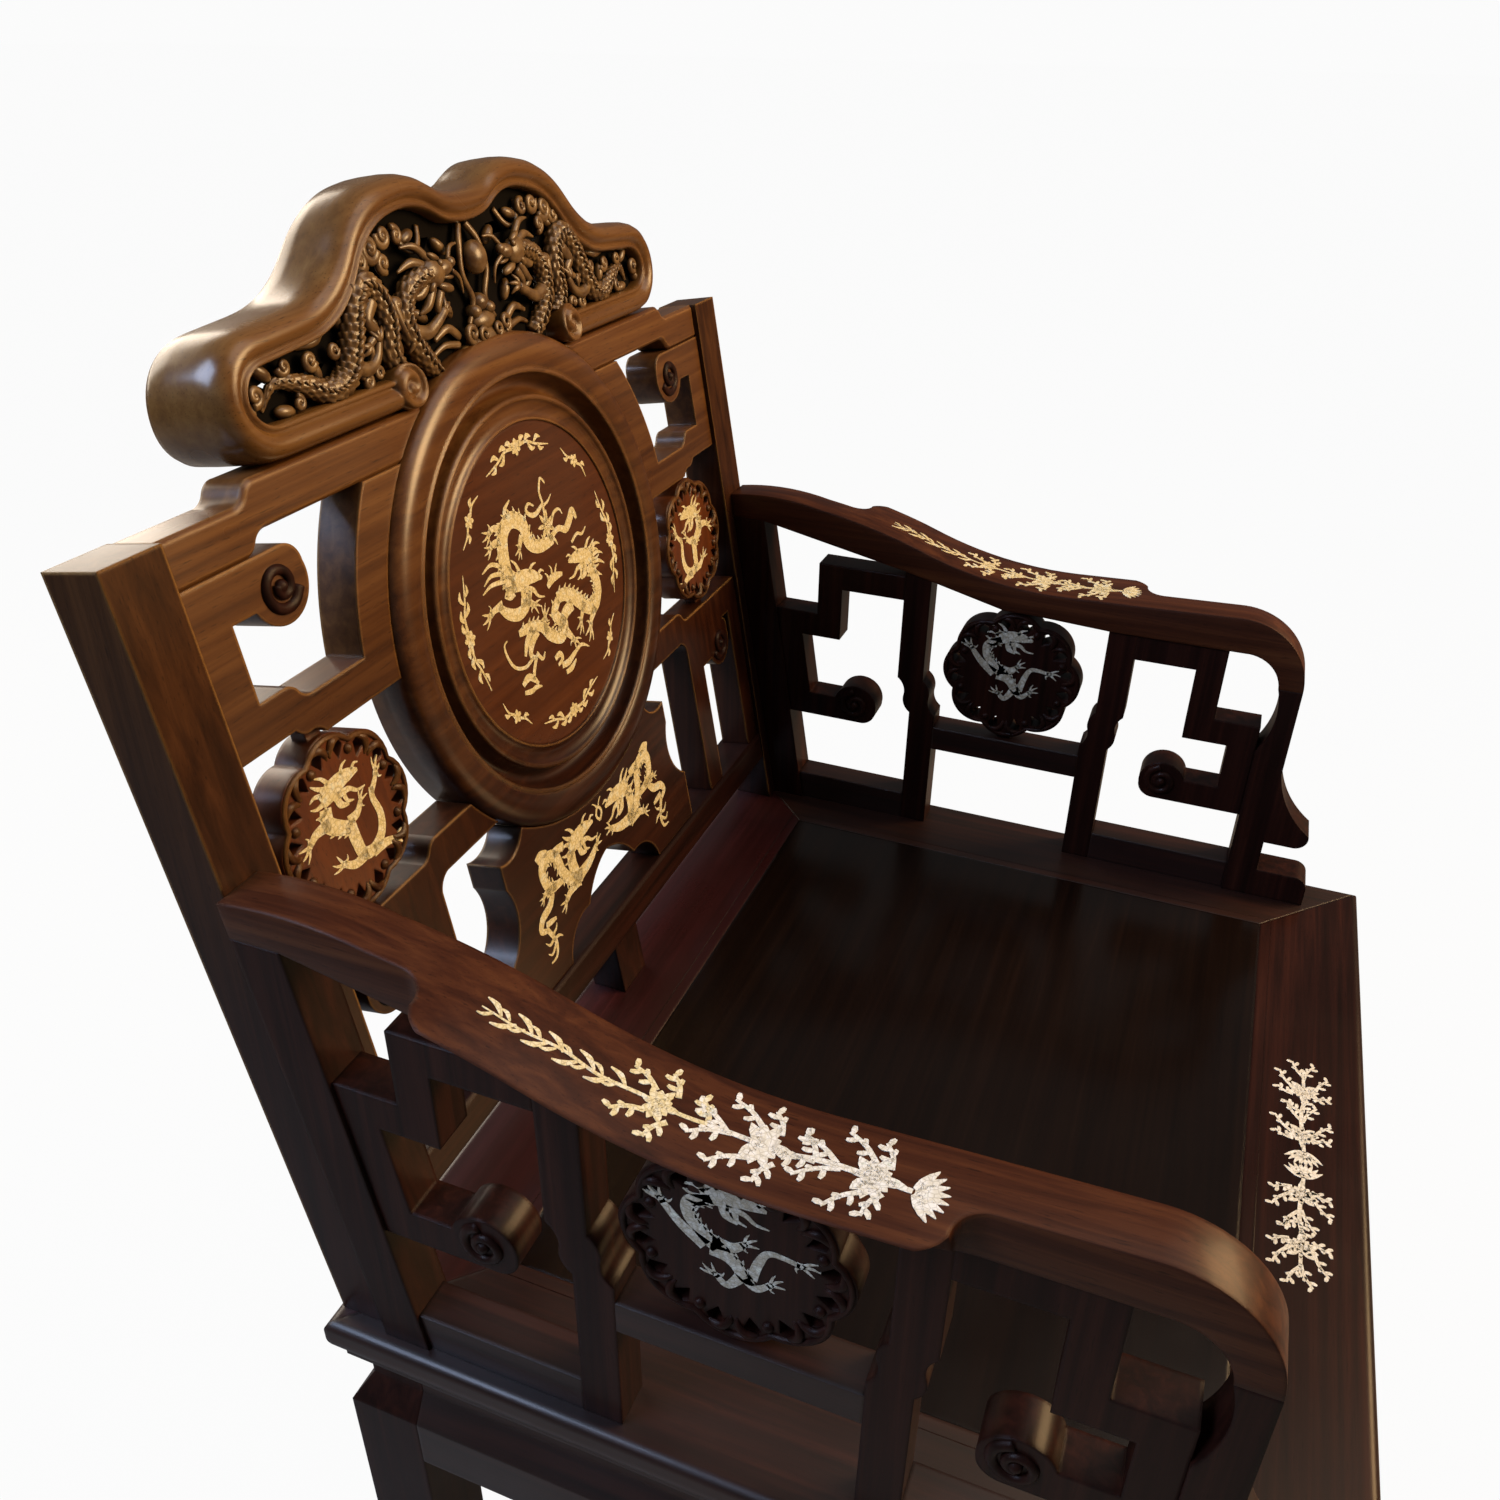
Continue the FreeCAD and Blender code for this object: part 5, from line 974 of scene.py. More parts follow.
# %% Helpers for trees
def new_tree(name, **numbers):
    """A tree with geometry in and out and named number inputs, and the identifier of each number."""
    tree = bpy.data.node_groups.new(name, "GeometryNodeTree")
    tree.interface.new_socket("Geometry", in_out="INPUT", socket_type="NodeSocketGeometry")
    keys = [tree.interface.new_socket(label, in_out="INPUT", socket_type="NodeSocket" + kind).identifier
            for label, kind in numbers.items()]
    tree.interface.new_socket("Geometry", in_out="OUTPUT", socket_type="NodeSocketGeometry")
    return tree, keys


def end_tree(tree, shape, finish):
    """Plain faces with a finish."""
    real = add(tree, "GeometryNodeRealizeInstances", {0: shape})
    paint = add(tree, "GeometryNodeSetMaterial", {0: real.outputs[0], "Material": finish})
    add(tree, "NodeGroupOutput", {0: paint.outputs[0]})


def through_tree(seed, tree, keys, *numbers):
    """The plain mesh that a tree makes of a seed object, which is then removed."""
    modifier = seed.modifiers.new("tree", "NODES")
    modifier.node_group = tree
    for key, number in zip(keys, numbers):
        modifier[key] = number
    seen = seed.evaluated_get(bpy.context.evaluated_depsgraph_get())
    mesh = bpy.data.meshes.new_from_object(seen)
    bpy.data.objects.remove(seed)
    return mesh


# %% A tree that sets copies round a circle
BORDER = 85.0  # radius of the circle


def ring_of_copies(finish):
    """A tree that sets copies of its geometry round a circle, facing away from the middle."""
    tree, keys = new_tree("copies_round_a_circle", Count="Int", Radius="Float", Start="Float")
    enter = add(tree, "NodeGroupInput").outputs
    circle = add(tree, "GeometryNodeMeshCircle", {"Vertices": enter["Count"], "Radius": enter["Radius"]})
    outward = add(tree, "GeometryNodeInputPosition").outputs[0]
    facing = add(tree, "FunctionNodeAlignRotationToVector", {"Vector": outward}, axis="Y", pivot_axis="Z")
    copies = add(tree, "GeometryNodeInstanceOnPoints", {
        "Points": circle.outputs["Mesh"], "Instance": enter["Geometry"], "Rotation": facing.outputs[0]})
    turn = add(tree, "CombineXYZ", {"Z": enter["Start"]}).outputs[0]
    spun = add(tree, "GeometryNodeTransform", {"Geometry": copies.outputs[0], "Rotation": turn})
    end_tree(tree, spun.outputs[0], finish)
    return tree, keys


def border(name, strokes, count, start_degrees):
    """Sprigs round the panel, from one flat sprig whose y points away from the middle."""
    seed = inlay(name + "_sprig", strokes, lambda x, y, out: Vector((x, y, out)) * MM, pearl_cream)
    tree, keys = ring_of_copies(pearl_cream)
    mesh = through_tree(seed, tree, keys, count, BORDER * MM, math.radians(start_degrees))
    lie = Matrix((ACROSS, UP, OUT)).transposed().to_4x4()
    mesh.transform(Matrix.Translation(on_disc(0, 0, 0)) @ lie)
    on_chair(name, mesh)
    print("%s: %d sprigs, %d faces" % (name, count, len(mesh.polygons)))


# %% Long and short sprigs
def bent(strokes):
    """Curves a straight sprig to lie along the border's circle."""
    return [(widths, [((BORDER + y) * math.sin(x / BORDER), (BORDER + y) * math.cos(x / BORDER) - BORDER)
                      for x, y in knots]) for widths, knots in strokes]


def mirrored(strokes, up=1):
    """The same strokes on the other side, and upside down where up is -1."""
    return [(widths, [(-x, up * y) for x, y in knots]) for widths, knots in strokes]


half_sprig = [((2.4, 1.6, 1.4, 0.5), ((3, 0), (12, 1), (22, -1), (36, 0))),
              ((1.2, 3.4, 0.6), ((10, 1), (13, 4), (17, 3.4))),
              ((1.2, 3.2, 0.6), ((13, 0), (17, -3.6), (21, -3))),
              ((1.2, 3, 0.6), ((20, 0), (23, 3.4), (27, 3.2))),
              ((1, 2.6, 0.5), ((24, -1), (27, -3.6), (31, -2.6))),
              ((1.2, 3.6, 0.6), ((4, 1), (7, 4.2), (10, 4)))]
long_sprig = bent(half_sprig + mirrored(half_sprig) + flower(0, 0, 6, 0.3, 5.2, 30, wide=3.4))
short_half = [((2, 1.4, 0.5), ((3, 0), (9, 1.4), (17, -0.6))), ((1, 2.8, 0.5), ((7, 1), (9, 4), (12, 4)))]
short_sprig = bent(short_half + mirrored(short_half, -1) + flower(0, 0, 5, 0.3, 4.4, 90, wide=3.0))
border("border_long_sprigs", long_sprig, 4, 0)
border("border_short_sprigs", short_sprig, 4, 45)

# %% [markdown]
# ### Pedestal and rosettes
#
# Under the medallion two dragons face a pearl across the arch, one the mirror of the other. Each
# rosette holds one dragon: on the back it stands on its hind legs, on the arms it twists to
# look forward.

# %% Dragons of the pedestal
PEDESTAL_LEVEL = -300.0  # the foot of the back, seen from the medallion's middle
PEDESTAL_LEAN = 1.0134  # rises were read upright, and the back leans
pedestal_dragon = (
    moved(HEAD, -40, 133, 2, 1.15) + [((9, 10, 9, 7), ((-41, 132), (-42, 122), (-39, 113), (-34, 110)))]
    + limb((9, 7, 4), (-36, 111), (-22, 113), (-11, 118), size=1.0)
    + spined((9, 9, 8, 8, 8, 8, 7, 6), (-34, 110), (-46, 114), (-54, 124), (-58, 138), (-68, 143),
             (-75, 138), (-73, 126), (-64, 121))
    + [((6, 6, 4), ((-78, 146), (-73, 148), (-66, 146))), ((7, 6, 5), ((-60, 141), (-53, 141), (-47, 140))),
       ((6, 6, 5), ((-76, 122), (-66, 121), (-56, 120)))]
    + limb((7, 6, 4), (-38, 108), (-50, 108), (-57, 105))
    + limb((5, 4, 3), (-72, 122), (-77, 123), (-79, 122), size=0.7)
    + [((5, 6, 6, 5, 3), ((-70, 119), (-76, 113), (-86, 110), (-90, 104), (-84, 100))),
       ((4, 4, 2), ((-84, 104), (-78, 103), (-72, 102))),
       ((4, 3.4, 3, 2.4, 1), ((-84, 101), (-80, 93), (-78, 86), (-81, 79), (-88, 78))),
       ((2.6, 2, 0.5), ((-80, 91), (-85, 90), (-89, 94))), ((2.6, 2, 0.5), ((-79, 87), (-85, 83), (-89, 86))),
       ((2.6, 2, 0.5), ((-80, 90), (-74, 90), (-70, 87))),
       ((2.6, 2, 0.5), ((-80, 94), (-75, 96), (-73, 99)))])
pearl_ring = [((2, 2, 2, 2, 2), ((0, 131), (3.6, 136), (0, 141), (-3.6, 136), (0, 131))),
              ((1.6, 1.2, 0.4), ((1, 141), (3, 144), (6, 146))),
              ((1.6, 1.2, 0.4), ((-1, 141), (-3, 144), (-6, 146)))]
inlay("pedestal_inlay", pedestal_dragon + mirrored(pedestal_dragon) + pearl_ring,
      lambda x, y, out: on_back(x, y * PEDESTAL_LEAN + PEDESTAL_LEVEL, out), pearl_cream)

# %% Dragons of the rosettes
standing_dragon = (
    moved(HEAD, -11, 18, 4, 1.0) + spined((8, 9, 8, 7), (-12, 14), (-13, 6), (-6, 0), (0, -3), side=-1,
                                          every=4, long=1.6)
    + [((8, 7.5, 7, 6.5, 6, 5, 4, 3.6), ((0, 0), (1, -12), (3, -20), (11, -22), (19, -17), (22, -8),
                                         (20, 2), (21, 8)))]
    + limb((4, 3.4, 2.6), (20, 5), (25, 10), (27, 13)) + limb((7, 5, 3.4), (-12, 6), (-22, 6), (-28, 3))
    + limb((6, 4.5, 3), (0, 0), (7, 1), (11, 5), size=0.8)
    + limb((7, 5, 3.4), (6, -21), (-4, -22), (-11, -18))
    + limb((7, 5, 3.2), (10, -23), (20, -24), (27, -26)))
twisting_dragon = (
    moved(HEAD, -13, 31, 2, 1.0) + spined((6, 6.5, 7, 9), (-10, 30), (-20, 25), (-20, 16), (-13, 7),
                                          (-7, 2), every=4, long=1.6)
    + limb((9, 6, 3.4), (-10, 5), (-1, 5), (4, 9), size=0.9)
    + limb((8, 5, 3.4), (-13, 1), (-24, 9), (-33, 20), size=1.1)
    + spined((8, 8, 7, 6, 5), (-11, 0), (-4, -1), (1, -5), (5, -12), (9, -12), every=4, long=1.4)
    + limb((5, 4.5, 3, 2.4), (8, -11), (11, 1), (16, 9), (29, 8))
    + limb((6, 4, 3), (3, -12), (-3, -20), (-8, -16), size=0.9)
    + limb((5, 4, 2.4), (5, -12), (10, -16), (16, -11), size=0.9))
ROSETTE_AT = (210.0, -43.5)  # across and up from the medallion's middle
ROSETTE_FACE = -3.0  # out of the frets' plane


def on_back_rosette(hand):
    """A place function for the face of one rosette of the back."""
    across, up = ROSETTE_AT
    return lambda x, y, out: on_back(hand * (across - x), up + y, out + ROSETTE_FACE)


def on_arm_rosette(name):
    """Place functions for the two faces of an arm's rosette, the left face first."""
    low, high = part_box("arm_rosette_" + name)
    middle = (Vector(low) + Vector(high)) / 2
    return [lambda x, y, out, way=way, face_x=face_x:
            Vector((face_x + way * out * MM, middle.y - x * MM, middle.z + y * MM))
            for face_x, way in ((low[0], -1), (high[0], 1))]


for hand, name in ((-1, "left"), (1, "right")):
    inlay("back_rosette_inlay_" + name, standing_dragon, on_back_rosette(hand), pearl_cream)
for name, labels in (("left", ("outer", "inner")), ("right", ("inner", "outer"))):
    for label, place in zip(labels, on_arm_rosette(name)):
        inlay("arm_rosette_inlay_%s_%s" % (name, label), twisting_dragon, place, pearl_grey)

# %% [markdown]
# ## Shaped arm rests
#
# The top of each arm is a wide board that swells past its posts. The joiner hollows it
# underneath, so its edge stays thin and light, and rounds every arris for the hand. The CAD rail
# has the same outline with square edges: a copy of it has its lower edges drawn in to the posts
# and its arrises rounded.

# %% Rays from above
ABOVE = 2.0  # metres; rays start above the whole chair


def surface_of(name):
    """The faces of a joined piece, ready to be hit by rays."""
    mesh = nodes[name].data
    corners = [vertex.co.copy() for vertex in mesh.vertices]
    return BVHTree.FromPolygons(corners, [tuple(face.vertices) for face in mesh.polygons])


def on_top(tree, x, y, out):
    """The point of a surface under a place, raised by out."""
    hit = tree.ray_cast(Vector((x, y, ABOVE)), Vector((0, 0, -1)))[0]
    return Vector((x, y, (hit.z if hit else 0.0) + out * MM))


# %% Shape the arm rests
EDGE_THICK = 9.0  # thickness left at the edge of the rest
DRAWN_IN = 0.9  # share of the way from the edge to the posts
ROUNDED = 3.6
POST_EDGE = 3.0  # arrises this near the posts' faces, or beyond them, are rounded
FLAT_TURN, ARRIS_TURN, SHARP_TURN = (math.radians(a) for a in (1, 32, 36))


def shaped_rest(name):
    """A copy of one arm rail, hollowed underneath and rounded, in place of the rail."""
    rail = "arm_rail_" + name
    top = surface_of(rail)
    post_low, post_high = (corner[0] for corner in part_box("arm_rear_post_" + name))
    post_middle, post_half = (post_low + post_high) / 2, (post_high - post_low) / 2
    work = bmesh.new()
    work.from_mesh(nodes[rail].data)
    bmesh.ops.remove_doubles(work, verts=work.verts, dist=WELD)
    bmesh.ops.dissolve_limit(work, angle_limit=FLAT_TURN, verts=work.verts, edges=work.edges)
    for vertex in work.verts:
        thick = on_top(top, post_middle, vertex.co.y, 0).z - vertex.co.z
        if thick > EDGE_THICK * MM:
            inside = min(max(vertex.co.x, post_low), post_high)
            vertex.co.x += DRAWN_IN * (inside - vertex.co.x)
    edges = []
    for edge in work.edges:
        outside = max(abs(vertex.co.x - post_middle) for vertex in edge.verts) > post_half - POST_EDGE * MM
        if outside and edge.is_manifold and edge.calc_face_angle() > ARRIS_TURN:
            edges.append(edge)
    bmesh.ops.bevel(work, geom=edges, offset=ROUNDED * MM, offset_type="OFFSET", segments=3, profile=0.5,
                    affect="EDGES", clamp_overlap=True)
    bmesh.ops.triangulate(work, faces=[face for face in work.faces if len(face.verts) > 4])
    work.verts.index_update()
    points = [vertex.co.copy() for vertex in work.verts]
    faces = [tuple(vertex.index for vertex in face.verts) for face in work.faces]
    work.free()
    rest = make_piece("arm_rest_" + name, points, faces, rest_wood)
    rest.data.set_sharp_from_angle(angle=SHARP_TURN)
    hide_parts(rail)


shaped_rest("left")
shaped_rest("right")

# %% [markdown]
# ### Flowering branch on the arms
#
# A branch runs back along the top of each arm, from a fan of roots past three open flowers to a
# thin leafy tip. The arm rises, falls and flares, so each point of the branch is dropped on the
# arm by a ray from above, as the inlayer lets shell into whatever surface the joiner made.

# %% Draw the branch
TIP_FROM = 220  # reach from the seat's rear edge at which the thin tip begins
TIP_LEAVES, LEAVES_FROM, LEAF_STEP = 9, 183, 6.8
FLOWER_PLACES = ((284, 0, 13.5), (240, 0, 13.5), (197, 1, 10))  # reach, across, size
TWIG_PLACES = (  # reach, across, direction in degrees, length
    (290, 6, 112, 13), (290, -6, -112, 13), (284, 7, 140, 18), (284, -7, -140, 18), (272, 0, 152, 19),
    (270, -2, -150, 18), (262, 0, 165, 13), (262, -1, -125, 13), (248, 7, 115, 12), (246, -7, -118, 12),
    (238, 8, 150, 17), (238, -8, -150, 17), (228, 0, 156, 18), (226, 0, -152, 17), (218, 0, -120, 12),
    (204, 7, 118, 12), (203, -6, -122, 12), (194, 6, 152, 14), (194, -5, -152, 14))


def twig(x, y, degrees, long):
    """A thin stem with small leaves by turns on each side."""
    strokes = [((2.6, 2.0, 1.4), ((0, 0), (long / 2, 1.4), (long, 0)))]
    for leaf in range(4):
        at = long * (0.32 + 0.21 * leaf)
        side = 1 if leaf % 2 else -1
        strokes.append(((1.6, 2.6, 1.4), ((at, 0.6), (at + 1.2, side * 2.0), (at + 2.6, side * 3.4))))
    return moved(strokes, x, y, degrees)


branch = [((2.4, 2.6, 2.8, 2.6, 2.4, 2.2, 2),
           ((300, 1), (288, 0), (274, -1), (262, -1), (248, 1), (236, 0), (218, 0)))]
branch += flower(299, 1, 8, 2, 15, -56, 124, wide=3.6)
branch_tip = [((2, 1.8, 1.8, 1.6, 1.4, 1.2, 0.6),
               ((220, 0), (206, 1), (190, 0), (172, 1), (155, -1), (138, 1), (120, 0)))]


def grow(reach, strokes):
    """Adds strokes to the branch or to its tip."""
    (branch if reach > TIP_FROM else branch_tip).extend(strokes)


for reach, across, size in FLOWER_PLACES:
    grow(reach, flower(reach, across, 9, 1.0, size, -130, 290, 0.38 * size, 0.4))
    grow(reach, flower(reach, across, 6, 0.4, 0.6 * size, 0, wide=2.6))
for reach, across, degrees, long in TWIG_PLACES:
    grow(reach, twig(reach, across, degrees, long))
for step in range(TIP_LEAVES):
    reach = LEAVES_FROM - LEAF_STEP * step
    side = 1 if step % 2 else -1
    branch_tip += [((1.0, 2.6, 0.6), ((reach, 0), (reach - 4, side * 4), (reach - 9, side * 5.4)))]
    branch_tip += [((0.8, 2.0, 0.5), ((reach - 3, 0), (reach - 6, -side * 3), (reach - 9, -side * 3.4)))]
print("branch of", len(branch), "strokes, tip of", len(branch_tip))

# %% Lay the branch on both arms
SEAT_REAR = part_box("seat_rail_rear")[1][1]
BRANCH_AT = 301.0  # across, from the middle of the chair


def along_arm(hand, name):
    """A place function on top of one arm: reach, across and out."""
    top = surface_of("arm_rail_" + name)
    return lambda x, y, out: on_top(top, hand * (BRANCH_AT + y) * MM, SEAT_REAR - x * MM, out)


for hand, name, front_shell in ((-1, "left", pearl_white_lit), (1, "right", pearl_cream)):
    inlay("arm_branch_" + name, branch, along_arm(hand, name), front_shell)
    inlay("arm_branch_tip_" + name, branch_tip, along_arm(hand, name), pearl_cream)

# %% [markdown]
# ### Spray on the front of the seat
#
# Two short flowering branches spread from the middle of the front rail.

# %% Lay the spray on the front rail
SPRAY_REACH, SPRAY_FROM = 480.0, 75.0  # reach from the seat's rear edge, and across
SPRAY_SIZE, SPRAY_SHIFT = 0.9, -206
front_top = surface_of("seat_rail_front")
spray = moved(branch, SPRAY_SHIFT, 0, 0, SPRAY_SIZE)


def on_front_rail(hand):
    """A place function on top of the front rail, spreading to one hand."""
    return lambda x, y, out: on_top(front_top, hand * (SPRAY_FROM - x) * MM,
                                    SEAT_REAR - (SPRAY_REACH + y) * MM, out)


for hand, name in ((-1, "left"), (1, "right")):
    inlay("seat_spray_" + name, spray, on_front_rail(hand), pearl_white_lit)

# %% [markdown]
# ## Scroll eyes
#
# Every fret ends in a scroll whose flat face is carved with a spiral and a round eye. The same
# spiral path as the clouds, with a thicker strand half sunk in the wood, gives the carved turn.

# %% Carve the eyes of the scrolls
EYE_RADIUS, EYE_TURNS, EYE_THICK, EYE_OUT = 12.0, 1.5, 3.0, -0.4
EYE_SIDES = 14
EYE_KNOB, KNOB_OUT = (3.2, 3.2, 3.0), 0.6
BACK_START, ARM_START = 200, 100  # where the spiral begins, in degrees
BACK_EYES = ((208.0, 79.0), (220.0, -133.0))  # across and up from the medallion's middle
ARM_EYES = ((103.5, 100.0), (354.5, 85.0))  # reach and rise
SEAT_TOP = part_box("seat_panel")[1][2]


def eye(points, faces, x, up, place, start):
    """A spiral strand round a knob."""
    path = curl(x, up, EYE_RADIUS, start, EYE_TURNS, EYE_THICK, EYE_OUT)
    tube(points, faces, path, place, EYE_SIDES)
    bead(points, faces, (x, up, KNOB_OUT), place, EYE_KNOB)


def on_arm_face(face_x, way):
    """A place function for an upright face of an arm: reach, rise and out."""
    return lambda reach, rise, out: Vector((face_x + way * out * MM, SEAT_REAR - reach * MM,
                                            SEAT_TOP + rise * MM))


eye_points, eye_faces = [], []
for hand in (1, -1):
    for x, up in BACK_EYES:
        eye(eye_points, eye_faces, x, up, mirror_on_back(hand), BACK_START)
for name in ("left", "right"):
    low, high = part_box("arm_rear_fret_" + name)
    for face_x, way in ((low[0], -1), (high[0], 1)):
        for reach, rise in ARM_EYES:
            eye(eye_points, eye_faces, reach, rise, on_arm_face(face_x, way), ARM_START)
make_piece("fret_scroll_eyes", eye_points, eye_faces, wood_z)

# %% [markdown]
# ## Beads that follow a line
#
# The rims of the rosettes and the edge of the seat panel carry thin beads of one section. A small
# tree of Geometry Nodes sweeps a circle along any closed line, so one line of points is all
# that each bead needs.

# %% A tree that sweeps a bead along a line
BEAD_SIDES = 10


def bead_tree(finish):
    """A tree that sweeps a circle along the edges of its geometry."""
    tree, keys = new_tree("bead_along_a_line", Radius="Float")
    enter = add(tree, "NodeGroupInput").outputs
    line = add(tree, "GeometryNodeMeshToCurve", {"Mesh": enter["Geometry"]})
    section = add(tree, "GeometryNodeCurvePrimitiveCircle", {
        "Resolution": BEAD_SIDES, "Radius": enter["Radius"]})
    sweep = add(tree, "GeometryNodeCurveToMesh", {
        "Curve": line.outputs[0], "Profile Curve": section.outputs[0]})
    end_tree(tree, sweep.outputs[0], finish)
    return tree, keys


def bead_line(name, lines, radius, finish):
    """One piece of beads along closed lines of points."""
    points, edges = [], []
    for line in lines:
        first, count = len(points), len(line)
        points += line
        edges += [(first + index, first + (index + 1) % count) for index in range(count)]
    seed_mesh = bpy.data.meshes.new(name + "_line")
    seed_mesh.from_pydata(points, edges, [])
    seed = bpy.data.objects.new(name + "_line", seed_mesh)
    bpy.context.collection.objects.link(seed)
    tree, keys = bead_tree(finish)
    swept = through_tree(seed, tree, keys, radius * MM)
    corners = [tuple(vertex.co) for vertex in swept.vertices]
    return make_piece(name, corners, [tuple(face.vertices) for face in swept.polygons], finish)


# %% [markdown]
# ### Rims of the rosettes
#
# Each rosette is a flower of eight lobes. Its rim is carved with a bead round the lobes, every lobe
# holds a pair of leaves, and a knob sits in each hollow.

# %% Lines and leaves of a rim
LOBES = 8
LOBE_ROOT, LOBE_SWELL = 0.83, 0.48  # share of the radius in the hollows, and how far a lobe swells
KNOB_AT, KNOB = 0.74, (2.8, 2.8, 2.2)
LEAF = (  # share of the radius, degrees from the lobe's middle, out, thickness
    (0.70, 2, -0.6, 0.8), (0.78, 2.6, 0.2, 1.8), (0.86, 7, 0.4, 2.2), (0.87, 15, -0.2, 1.0))


def rim_line(radius, place):
    """The scalloped line of a rosette."""
    step = 2 * math.pi / LOBES
    root = LOBE_ROOT * radius
    scallop = []
    for lobe in range(LOBES):
        ends = [(root * math.cos(a), root * math.sin(a)) for a in ((lobe - 0.5) * step, (lobe + 0.5) * step)]
        scallop += arc(ends[0], ends[1], LOBE_SWELL, 8)
    return [place(x, y, 0.0) for x, y in scallop]


def rim_leaves(points, faces, radius, place):
    """A pair of leaves in each lobe and a knob in each hollow."""
    def at(share, degrees, *rest):
        angle = math.radians(degrees)
        return (share * radius * math.cos(angle), share * radius * math.sin(angle), *rest)
    for lobe in range(LOBES):
        middle = 360 / LOBES * lobe
        for hand in (-1, 1):
            path = [at(share, middle + turn * hand, out, thick) for share, turn, out, thick in LEAF]
            tube(points, faces, path, place, STRAND_SIDES)
        bead(points, faces, at(KNOB_AT, middle + 180 / LOBES, 0.0), place, KNOB)


# %% Carve the rims
RIM_BEAD = 1.6
BACK_RIM, ARM_RIM = 49.2, 56.4  # radius of the rosettes
rosette_rims = []
for hand, name in ((1, "right"), (-1, "left")):
    rosette_rims.append(("back_rosette_" + name, BACK_RIM, warm_z, [on_back_rosette(hand)]))
    rosette_rims.append(("arm_rosette_" + name, ARM_RIM, wood_z, on_arm_rosette(name)))
for name, radius, finish, places in rosette_rims:
    scallops = [rim_line(radius, place) for place in places]
    bead_line(name + "_rim", scallops, RIM_BEAD, finish)
    leaf_points, leaf_faces = [], []
    for place in places:
        rim_leaves(leaf_points, leaf_faces, radius, place)
    make_piece(name + "_leaves", leaf_points, leaf_faces, finish)

# %% [markdown]
# ### Edge of the seat panel
#
# A fine worn bead shows where the panel meets the frame.

# %% Lay the seat's bead
panel_low, panel_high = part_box("seat_panel")
SEAT_BEAD = 0.7
BEAD_SUNK = 0.5 * MM
corners = ((panel_low[0], panel_low[1]), (panel_high[0], panel_low[1]), (panel_high[0], panel_high[1]),
           (panel_low[0], panel_high[1]))
seat_edge = [Vector((x, y, SEAT_TOP - BEAD_SUNK)) for x, y in corners]
bead_line("seat_panel_bead", [seat_edge], SEAT_BEAD, wood_x)

# %% [markdown]
# ## Camera
#
# The photograph was taken close by, from the chair's left front and above it. Its place
# and lens were solved from the chair's own straight edges.

# %% Camera
CAMERA_AT = (-617.7, -139.1, 1077.0)  # millimetres
YAW, PITCH, ROLL = (math.radians(a) for a in (68.881, 30.338, -0.801))
LENS, SENSOR = 30.07, 36

ahead = Vector((math.sin(YAW) * math.cos(PITCH), math.cos(YAW) * math.cos(PITCH), -math.sin(PITCH)))
level = Vector((math.cos(YAW), -math.sin(YAW), 0))
down = ahead.cross(level)
right = level * math.cos(ROLL) + down * math.sin(ROLL)
top = level * math.sin(ROLL) - down * math.cos(ROLL)
camera_data = bpy.data.cameras.new("photo_camera")
camera_data.lens = LENS
camera_data.sensor_width = SENSOR
camera = bpy.data.objects.new("photo_camera", camera_data)
bpy.context.collection.objects.link(camera)
turn = Matrix((right, top, -ahead)).transposed().to_4x4()
camera.matrix_world = Matrix.Translation(Vector(CAMERA_AT) * MM) @ turn
bpy.context.scene.camera = camera
print("camera at", [round(v, 3) for v in camera.location])

# %% [markdown]
# ## Floor and light
#
# A pale floor takes the shadow, and reads as white to the camera. A warm lamp at the front right
# gives the gold on the carving, a cool window at the left gives the sheen on the arms, and a soft
# fill behind lets the chair be read from the back.

# %% Floor and world
FLOOR_HALF = 40.0
FLOOR_GLOW = 0.96  # how far the floor reads as white to the camera; the rest keeps the shadow
AMBIENT, BACKDROP = 0.11, 0.966  # the world as a light, and as the camera sees it
WHITE = (1, 1, 1, 1)


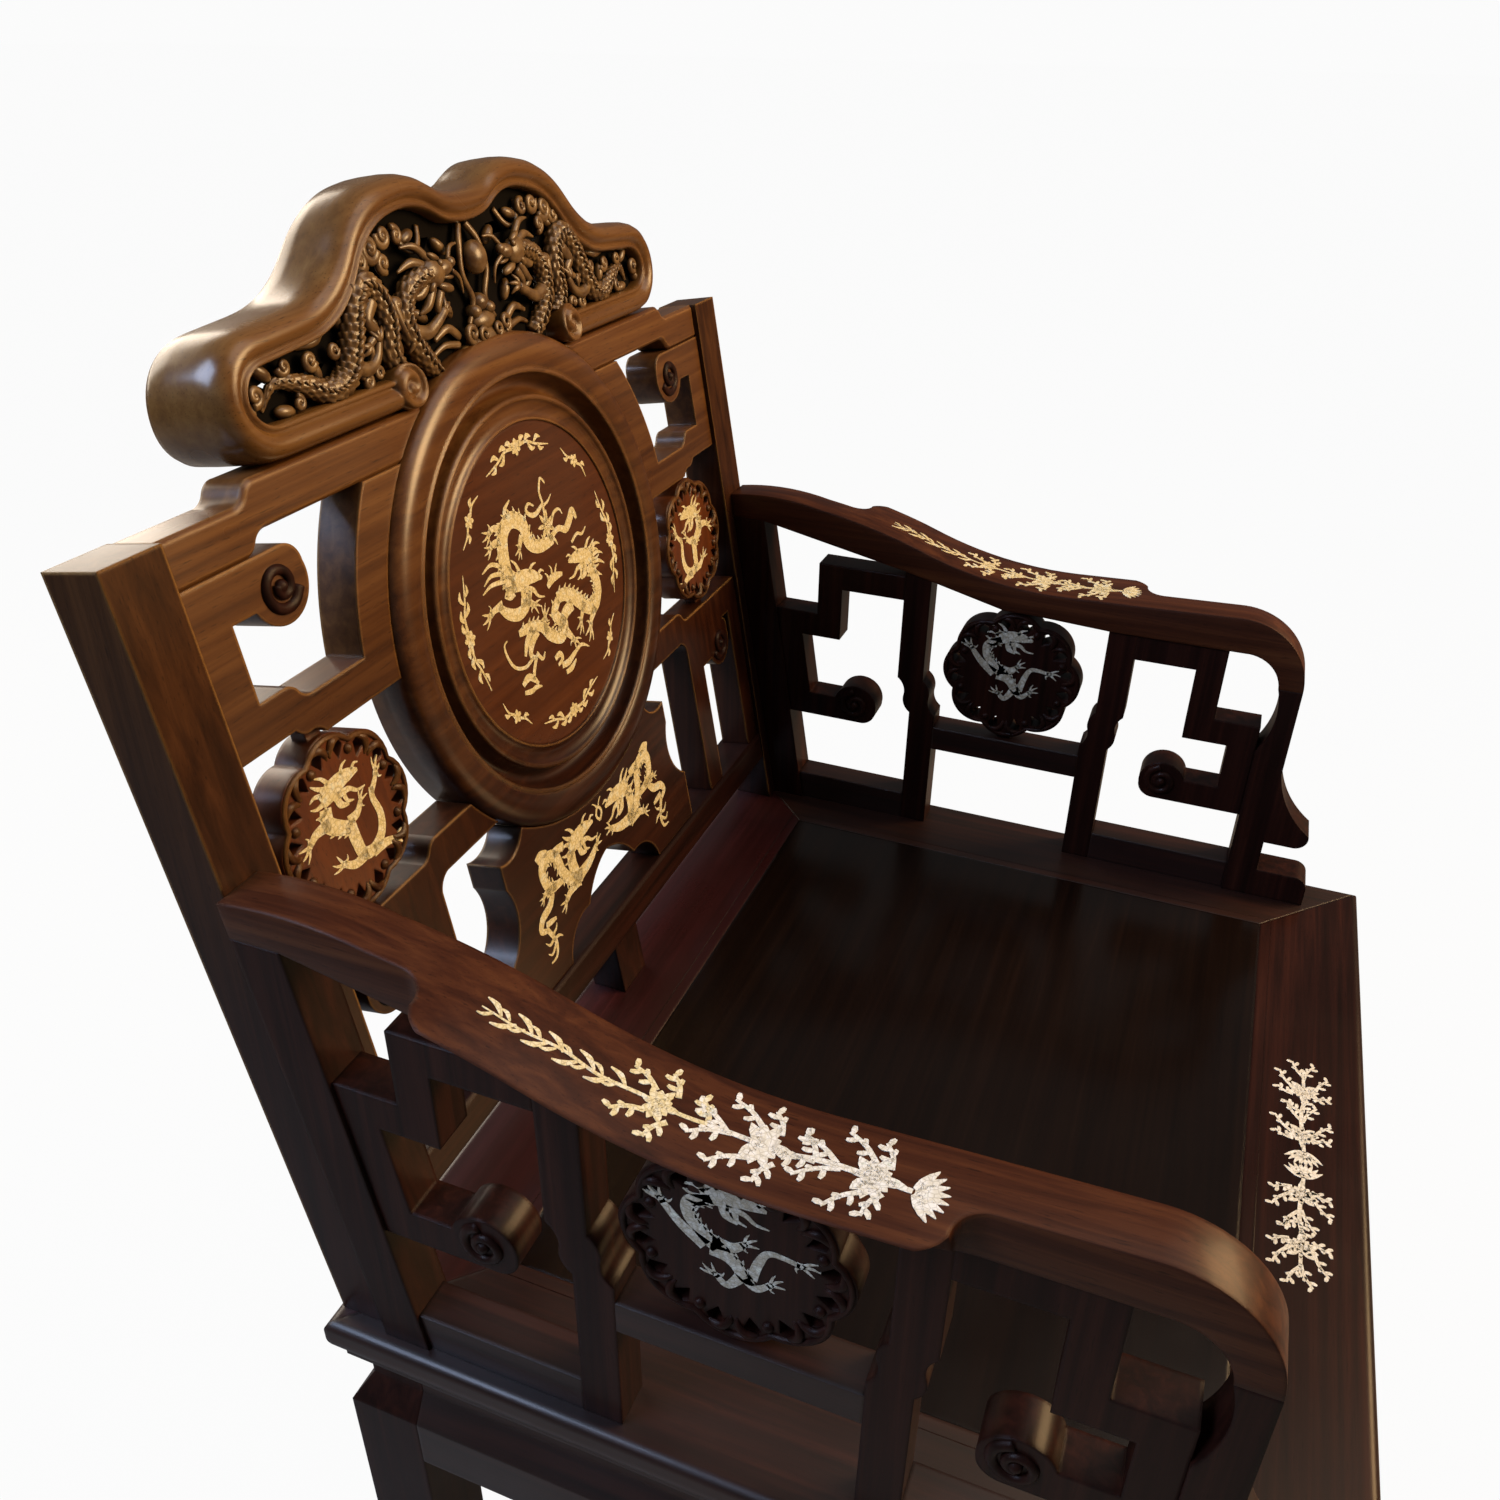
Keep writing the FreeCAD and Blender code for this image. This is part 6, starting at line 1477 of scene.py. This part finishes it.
def pale_floor():
    """Matt painted board, white where the camera looks at it."""
    finish, tree, paint = new_finish("pale studio floor")
    fill(tree, paint, {"Base Color": colour("#8a8885"), "Roughness": 0.8})
    glow = add(tree, "Emission", {"Color": WHITE, "Strength": 1.0}).outputs[0]
    seen = add(tree, "LightPath").outputs["Is Camera Ray"]
    share = add(tree, "Math", {0: seen, 1: FLOOR_GLOW}, operation="MULTIPLY").outputs[0]
    mixed = add(tree, "MixShader", {0: share, 1: paint.outputs[0], 2: glow}).outputs[0]
    fill(tree, tree.nodes["Material Output"], {"Surface": mixed})
    return finish


floor_mesh = bpy.data.meshes.new("studio_floor")
floor_corners = [(x * FLOOR_HALF, y * FLOOR_HALF, 0) for x, y in ((-1, -1), (1, -1), (1, 1), (-1, 1))]
floor_mesh.from_pydata(floor_corners, [], [(0, 1, 2, 3)])
floor_mesh.materials.append(pale_floor())
floor = bpy.data.objects.new("studio_floor", floor_mesh)
bpy.context.collection.objects.link(floor)

world = bpy.data.worlds.new("studio")
bpy.context.scene.world = world
world.use_nodes = True
air = world.node_tree
path = add(air, "LightPath")
clear = add(air, "Math", {0: path.outputs["Is Camera Ray"], 1: path.outputs["Is Transmission Ray"]},
            operation="MAXIMUM").outputs[0]
strength = add(air, "MapRange", {"Value": clear, "To Min": AMBIENT, "To Max": BACKDROP}).outputs[0]
fill(air, air.nodes["Background"], {"Color": WHITE, "Strength": strength})
print("world lights at %.2f and shows at %.2f" % (AMBIENT, BACKDROP))


# %% Lamps
def lamp(name, place, aim, size, watts, text):
    """A rectangle of light at a place, in metres, that looks at an aim."""
    data = bpy.data.lights.new(name, "AREA")
    data.shape = "RECTANGLE"
    data.size, data.size_y = size
    data.energy = watts
    data.color = colour(text)[:3]
    thing = bpy.data.objects.new(name, data)
    bpy.context.collection.objects.link(thing)
    look = (Vector(aim) - Vector(place)).to_track_quat("-Z", "Y").to_matrix().to_4x4()
    thing.matrix_world = Matrix.Translation(Vector(place)) @ look
    print("%s: %d watts" % (name, watts))


lamp("warm_lamp", (0.9, -1.6, 1.65), (0.0, 0.12, 0.9), (1.0, 1.0), 62, "#ffd49a")
lamp("cool_window", (-1.3, 1.1, 2.1), (-0.15, 0.12, 0.9), (1.0, 1.0), 44, "#c6daff")
lamp("rear_fill", (0.5, 2.3, 1.5), (0.0, 0.2, 0.7), (1.8, 1.4), 40, "#fff0dc")
lamp("soft_top", (0.4, -0.8, 2.6), (0.0, -0.1, 0.7), (1.6, 1.6), 16, "#fff2e2")
bpy.context.scene.view_settings.view_transform = "Standard"
